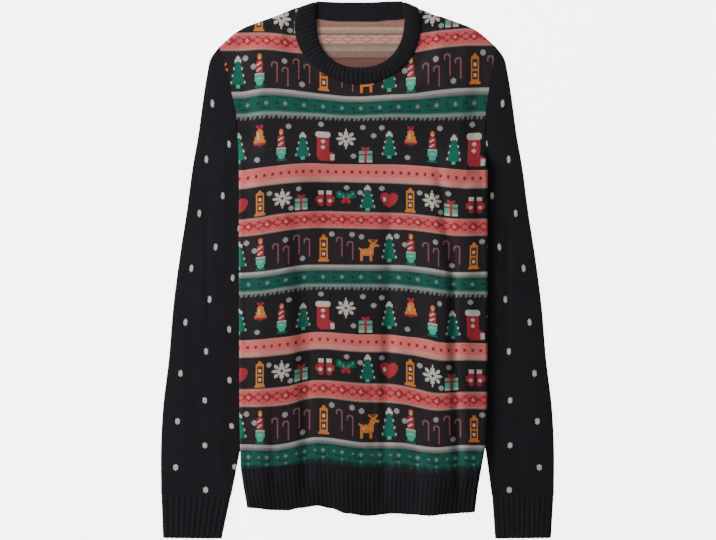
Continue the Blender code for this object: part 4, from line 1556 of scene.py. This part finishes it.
def make_cuff(name, node, corners):
    """A cuff: rings between its two ends, its top waved by the ribs, its free edge rounded."""
    corners = np.array(corners)
    outer, inner = [], []
    for share in np.linspace(0.0, 1.0, CUFF_ROWS):
        line = corners[:2] * (1 - share) + corners[2:] * share
        skins = tube_ring(line, (CUFF_TOP, CUFF_UNDER), lambda plan: np.full(len(plan), CUFF_PUFF))
        first = CUFF_UNDER + EDGE_STEPS - 1
        wave = 0.5 - 0.5 * np.cos(np.arange(CUFF_TOP + 1) * 2 * np.pi / RIB_COLUMNS)
        wave *= RIB_HEIGHT * smooth_step(share, 0.0, CUFF_TIED)
        skins[0][first: first + CUFF_TOP + 1, 2] += wave
        outer.append(skins[0])
        inner.append(skins[1])
    outer, inner = rounded_end(np.array(outer), np.array(inner))
    around = path_length(outer)
    around = np.concatenate([around, around[:, -1:] + 1.0], axis=1)
    down = path_length(outer[:, CUFF_UNDER + EDGE_STEPS + CUFF_TOP // 2, :])[:, None]
    stitches = grid_map(around / STITCH, down / ROW)
    spread = grid_map(around / around.max(), down / down.max())
    cuff = knit_wall(name, outer, inner, stitches, spread, [rib_knit, rib_knit], closed=True)
    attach(cuff, "root")
    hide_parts(node)


make_cuff("left_cuff", "cuff_left", LEFT_CUFF)
make_cuff("right_cuff", "cuff_right", RIGHT_CUFF)

# ---- Neckband
# A doubled band of rib knit, linked to the neckline. Its front half lies over its back half, and it
# folds at the collar's two top corners.

BAND_WALL = 3.0
BAND_CROWN = 1.1
BAND_ROUNDING = 0.35             # power of the sine that rounds the outer skin off across its width
BAND_RISE = 17.2
BAND_EDGE_RISE = 19.9
BAND_EDGE_FLARE = 0.015
BAND_EDGE_MIDDLE = 4.2
BAND_EDGE_WIDEST = 27.3
BAND_EDGE_HALF_WIDTH = 59.7
BAND_EDGE_DEPTH = 64.8
BAND_EDGE_FULLNESS = 2.3
BAND_EDGE_LEAN = (5.0, -2.0)     # across, above and below its widest line
BAND_LIFT = (0.40, 0.47)         # shares of its length, from its middle, between which it rises
BAND_INSET = 0.3                 # from the neckline to the front half's seam
NECK_LEFT = 5.0                  # how much wider the neck's left side is there
BACK_BAND_INSET = 4.0
BACK_NECK_POINTS = 60            # at which the back neckline is read
SEAM_LAP = 1.2
BAND_RIBS = 46
BACK_RIB_HEIGHT = 0.5
BAND_STATIONS = BAND_RIBS * RIB_COLUMNS
BACK_RIB_COLUMNS = 5
BAND_WIDTH_STEPS = 14
BAND_FOLD_STEPS = 8
BACK_BAND_STEPS = 150
BACK_BAND_EDGE = [
    (-56.5, 1.6),
    (-44.3, 2.3),
    (-30.7, 3),
    (4.8, 3.4),
    (23.9, 3),
    (37.5, 2.1),
    (61.5, 1.5),
]


def band_edges():
    """The front half's two edges: along the neckline, and its free edge, an ellipse of fuller corners
    (the powers of its sine and cosine are below 1) that leans, and whose ends run straight up."""
    angle = np.radians(np.linspace(-BAND_RISE, 180.0 + BAND_RISE, BAND_STATIONS + 1))
    seam = neckline(angle, BAND_INSET, NECK_LEFT)
    angle = np.radians(np.linspace(-BAND_EDGE_RISE, 180.0 + BAND_EDGE_RISE, BAND_STATIONS + 1))
    sine, side = np.sin(angle), np.sign(np.cos(angle))
    upright = 1 - BAND_EDGE_FLARE * sine
    round_side = np.abs(np.cos(angle)) ** (2 / BAND_EDGE_FULLNESS)
    across = BAND_EDGE_MIDDLE - BAND_EDGE_HALF_WIDTH * side * np.where(sine < 0, upright, round_side)
    across += sine * np.where(sine < 0, *BAND_EDGE_LEAN)
    depth = np.where(sine < 0, sine, np.abs(sine) ** (2 / BAND_EDGE_FULLNESS))
    down = BAND_EDGE_WIDEST + BAND_EDGE_DEPTH * depth
    return seam, np.stack([across, down], axis=1)


def band_corner(seam, free, starting):
    """Stations of the fold at one of the collar's top corners: a half turn about its edge."""
    width = free - seam
    out = np.array([-width[1], width[0]]) / np.hypot(*width)
    out = out * np.sign(out @ (seam - np.array([NECK_MIDDLE, NECK_WIDEST])))
    turn = np.linspace(0, np.pi, BAND_FOLD_STEPS + 1)
    count = len(turn)
    return (
        np.repeat([seam], count, axis=0),
        np.repeat([free], count, axis=0),
        np.full(count, BAND_WALL + GAP / 2),
        turn[::-1] if starting else turn,
        np.zeros(count),
        np.repeat([out], count, axis=0),
    )


def make_neckband():
    """The band's stations go round the front, turn under at a corner, go across the back and turn up
    at the other. Across its width the outer skin is a low arch that comes down at both edges."""
    seam, free = band_edges()
    count = len(seam)
    from_middle = np.abs(np.linspace(-0.5, 0.5, count))
    height = LAYER + BAND_WALL / 2 + (BAND_WALL - WALL) * smooth_step(from_middle, *BAND_LIFT)
    ribs = (0.5 - 0.5 * np.cos(np.arange(count) * 2 * np.pi / RIB_COLUMNS)) * RIB_HEIGHT
    front = (seam, free, height, np.zeros(count), ribs, np.zeros((count, 2)))

    shares = np.linspace(0, 1, BACK_BAND_STEPS + 1)[1:-1]
    neck = smooth_curve(BACK_NECK, np.linspace(0, 1, BACK_NECK_POINTS))
    ends = (neck[-1, 0] - BACK_BAND_INSET, neck[0, 0] + BACK_BAND_INSET)
    across = np.interp(shares, (0, 1), ends)
    back_seam = np.stack([across, np.interp(across, *neck.T) + SEAM_LAP], axis=1)
    back_free = smooth_curve(BACK_BAND_EDGE[::-1], shares)
    flat = np.zeros(len(shares))
    back = (back_seam, back_free, flat + BAND_WALL / 2, flat + np.pi, flat, np.zeros((len(flat), 2)))

    order = [
        tuple(column[1:-1] for column in front),
        band_corner(seam[-1], free[-1], False),
        back,
        band_corner(seam[0], free[0], True),
    ]
    seam, free, height, facing, ribs, out = (np.concatenate(column) for column in zip(*order))
    folded = np.any(out != 0, axis=1)
    back_ribs = 0.5 - 0.5 * np.cos(np.arange(len(facing)) * 2 * np.pi / BACK_RIB_COLUMNS)
    back_ribs *= (facing == np.pi) * BACK_RIB_HEIGHT
    profile = np.linspace(0.0, np.pi, BAND_WIDTH_STEPS + 1)
    skins = []
    for distance, raised, crown in ((BAND_WALL / 2, 1.0, BAND_CROWN), (-BAND_WALL / 2, 0.0, 0.0)):
        radius = np.where(folded, (BAND_WALL + GAP) / 2, 0.0)
        rows = []
        for turn in profile:
            share = 0.5 - 0.5 * np.cos(turn)
            round_off = distance * np.sin(turn) ** BAND_ROUNDING if distance > 0 else distance
            reach = radius + round_off
            plan = seam * (1 - share) + free * share + out * (reach * np.sin(facing))[:, None]
            arch = crown * (facing == 0) + raised * ribs + (1 - raised) * back_ribs
            arch = arch * np.sin(turn)
            rows.append(np.column_stack([plan, height + reach * np.cos(facing) + arch]))
        skins.append(np.array(rows))
    outer, inner = skins
    around = path_length(outer[BAND_WIDTH_STEPS // 2])
    around = np.append(around, around[-1] + 1.0)
    width = path_length(outer[:, count // 2])
    stitches = grid_map(around / STITCH, width[:, None] / ROW)
    spread = grid_map(around / around[-1], width[:, None] / width[-1])
    band = knit_wall("collar_band", outer, inner, stitches, spread, [rib_knit, rib_knit], closed=True)
    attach(band, "root")
    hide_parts("neckband")


make_neckband()

# ---- Table, light and camera
# A plain pale table, a broad soft light above and a second one from the upper left, and a camera
# straight above, far off with a long lens. The table's glow lights nothing else, and from below the
# table can be looked through.

VIEW_CENTRE = (0.0007, -0.0016)
VIEW_WIDTH = 0.9766
CAMERA_HEIGHT = 6.0
TABLE_SIDE = 6.0
TABLE_TOP = -0.0001
TABLE_GLOW = 5.0
ROOM_GLOW = 0.16

table_mesh = bpy.data.meshes.new("table")
table_mesh.from_pydata(
    [(x * TABLE_SIDE, y * TABLE_SIDE, TABLE_TOP) for x, y in ((-1, -1), (1, -1), (1, 1), (-1, 1))],
    [],
    [(0, 1, 2, 3)],
)
table = bpy.data.objects.new("table", table_mesh)
table.visible_diffuse = False
table.visible_glossy = False
bpy.context.scene.collection.objects.link(table)
table_paint = bpy.data.materials.new("table_paint")
table_paint.use_nodes = True
table_nodes = table_paint.node_tree.nodes
paint = table_nodes["Principled BSDF"]
paint.inputs["Base Color"].default_value = (0.93, 0.93, 0.93, 1)
paint.inputs["Roughness"].default_value = 0.9
paint.inputs["Emission Color"].default_value = (1, 1, 1, 1)
paint.inputs["Emission Strength"].default_value = TABLE_GLOW
from_below = table_nodes.new("ShaderNodeNewGeometry")
clear = table_nodes.new("ShaderNodeBsdfTransparent")
either = table_nodes.new("ShaderNodeMixShader")
for source, target in (
    (from_below.outputs["Backfacing"], either.inputs["Fac"]),
    (paint.outputs["BSDF"], either.inputs[1]),
    (clear.outputs["BSDF"], either.inputs[2]),
    (either.outputs["Shader"], table_nodes["Material Output"].inputs["Surface"]),
):
    table_paint.node_tree.links.new(source, target)
table_mesh.materials.append(table_paint)

for name, place, size, power in (
    ("sky_light", (0.3, 0.9, 3.0), 3.0, 37.0),
    ("side_light", (-2.1, 1.1, 1.15), 1.2, 120.0),
):
    lamp = bpy.data.lights.new(name, "AREA")
    lamp.size = size
    lamp.energy = power
    light = bpy.data.objects.new(name, lamp)
    light.location = place
    aim_x, aim_y, aim_z = -np.array(place)
    light.rotation_euler = (np.arctan2(np.hypot(aim_x, aim_y), -aim_z), 0, np.arctan2(-aim_x, aim_y))
    bpy.context.scene.collection.objects.link(light)

world = bpy.data.worlds.new("studio")
world.use_nodes = True
world.node_tree.nodes["Background"].inputs["Color"].default_value = (1, 1, 1, 1)
world.node_tree.nodes["Background"].inputs["Strength"].default_value = ROOM_GLOW
bpy.context.scene.world = world

camera_data = bpy.data.cameras.new("camera")
camera_data.sensor_width = 36.0
camera_data.lens = camera_data.sensor_width * CAMERA_HEIGHT / VIEW_WIDTH
camera_data.clip_end = 100.0
camera = bpy.data.objects.new("camera", camera_data)
camera.location = (*VIEW_CENTRE, CAMERA_HEIGHT)
bpy.context.scene.collection.objects.link(camera)
bpy.context.scene.camera = camera
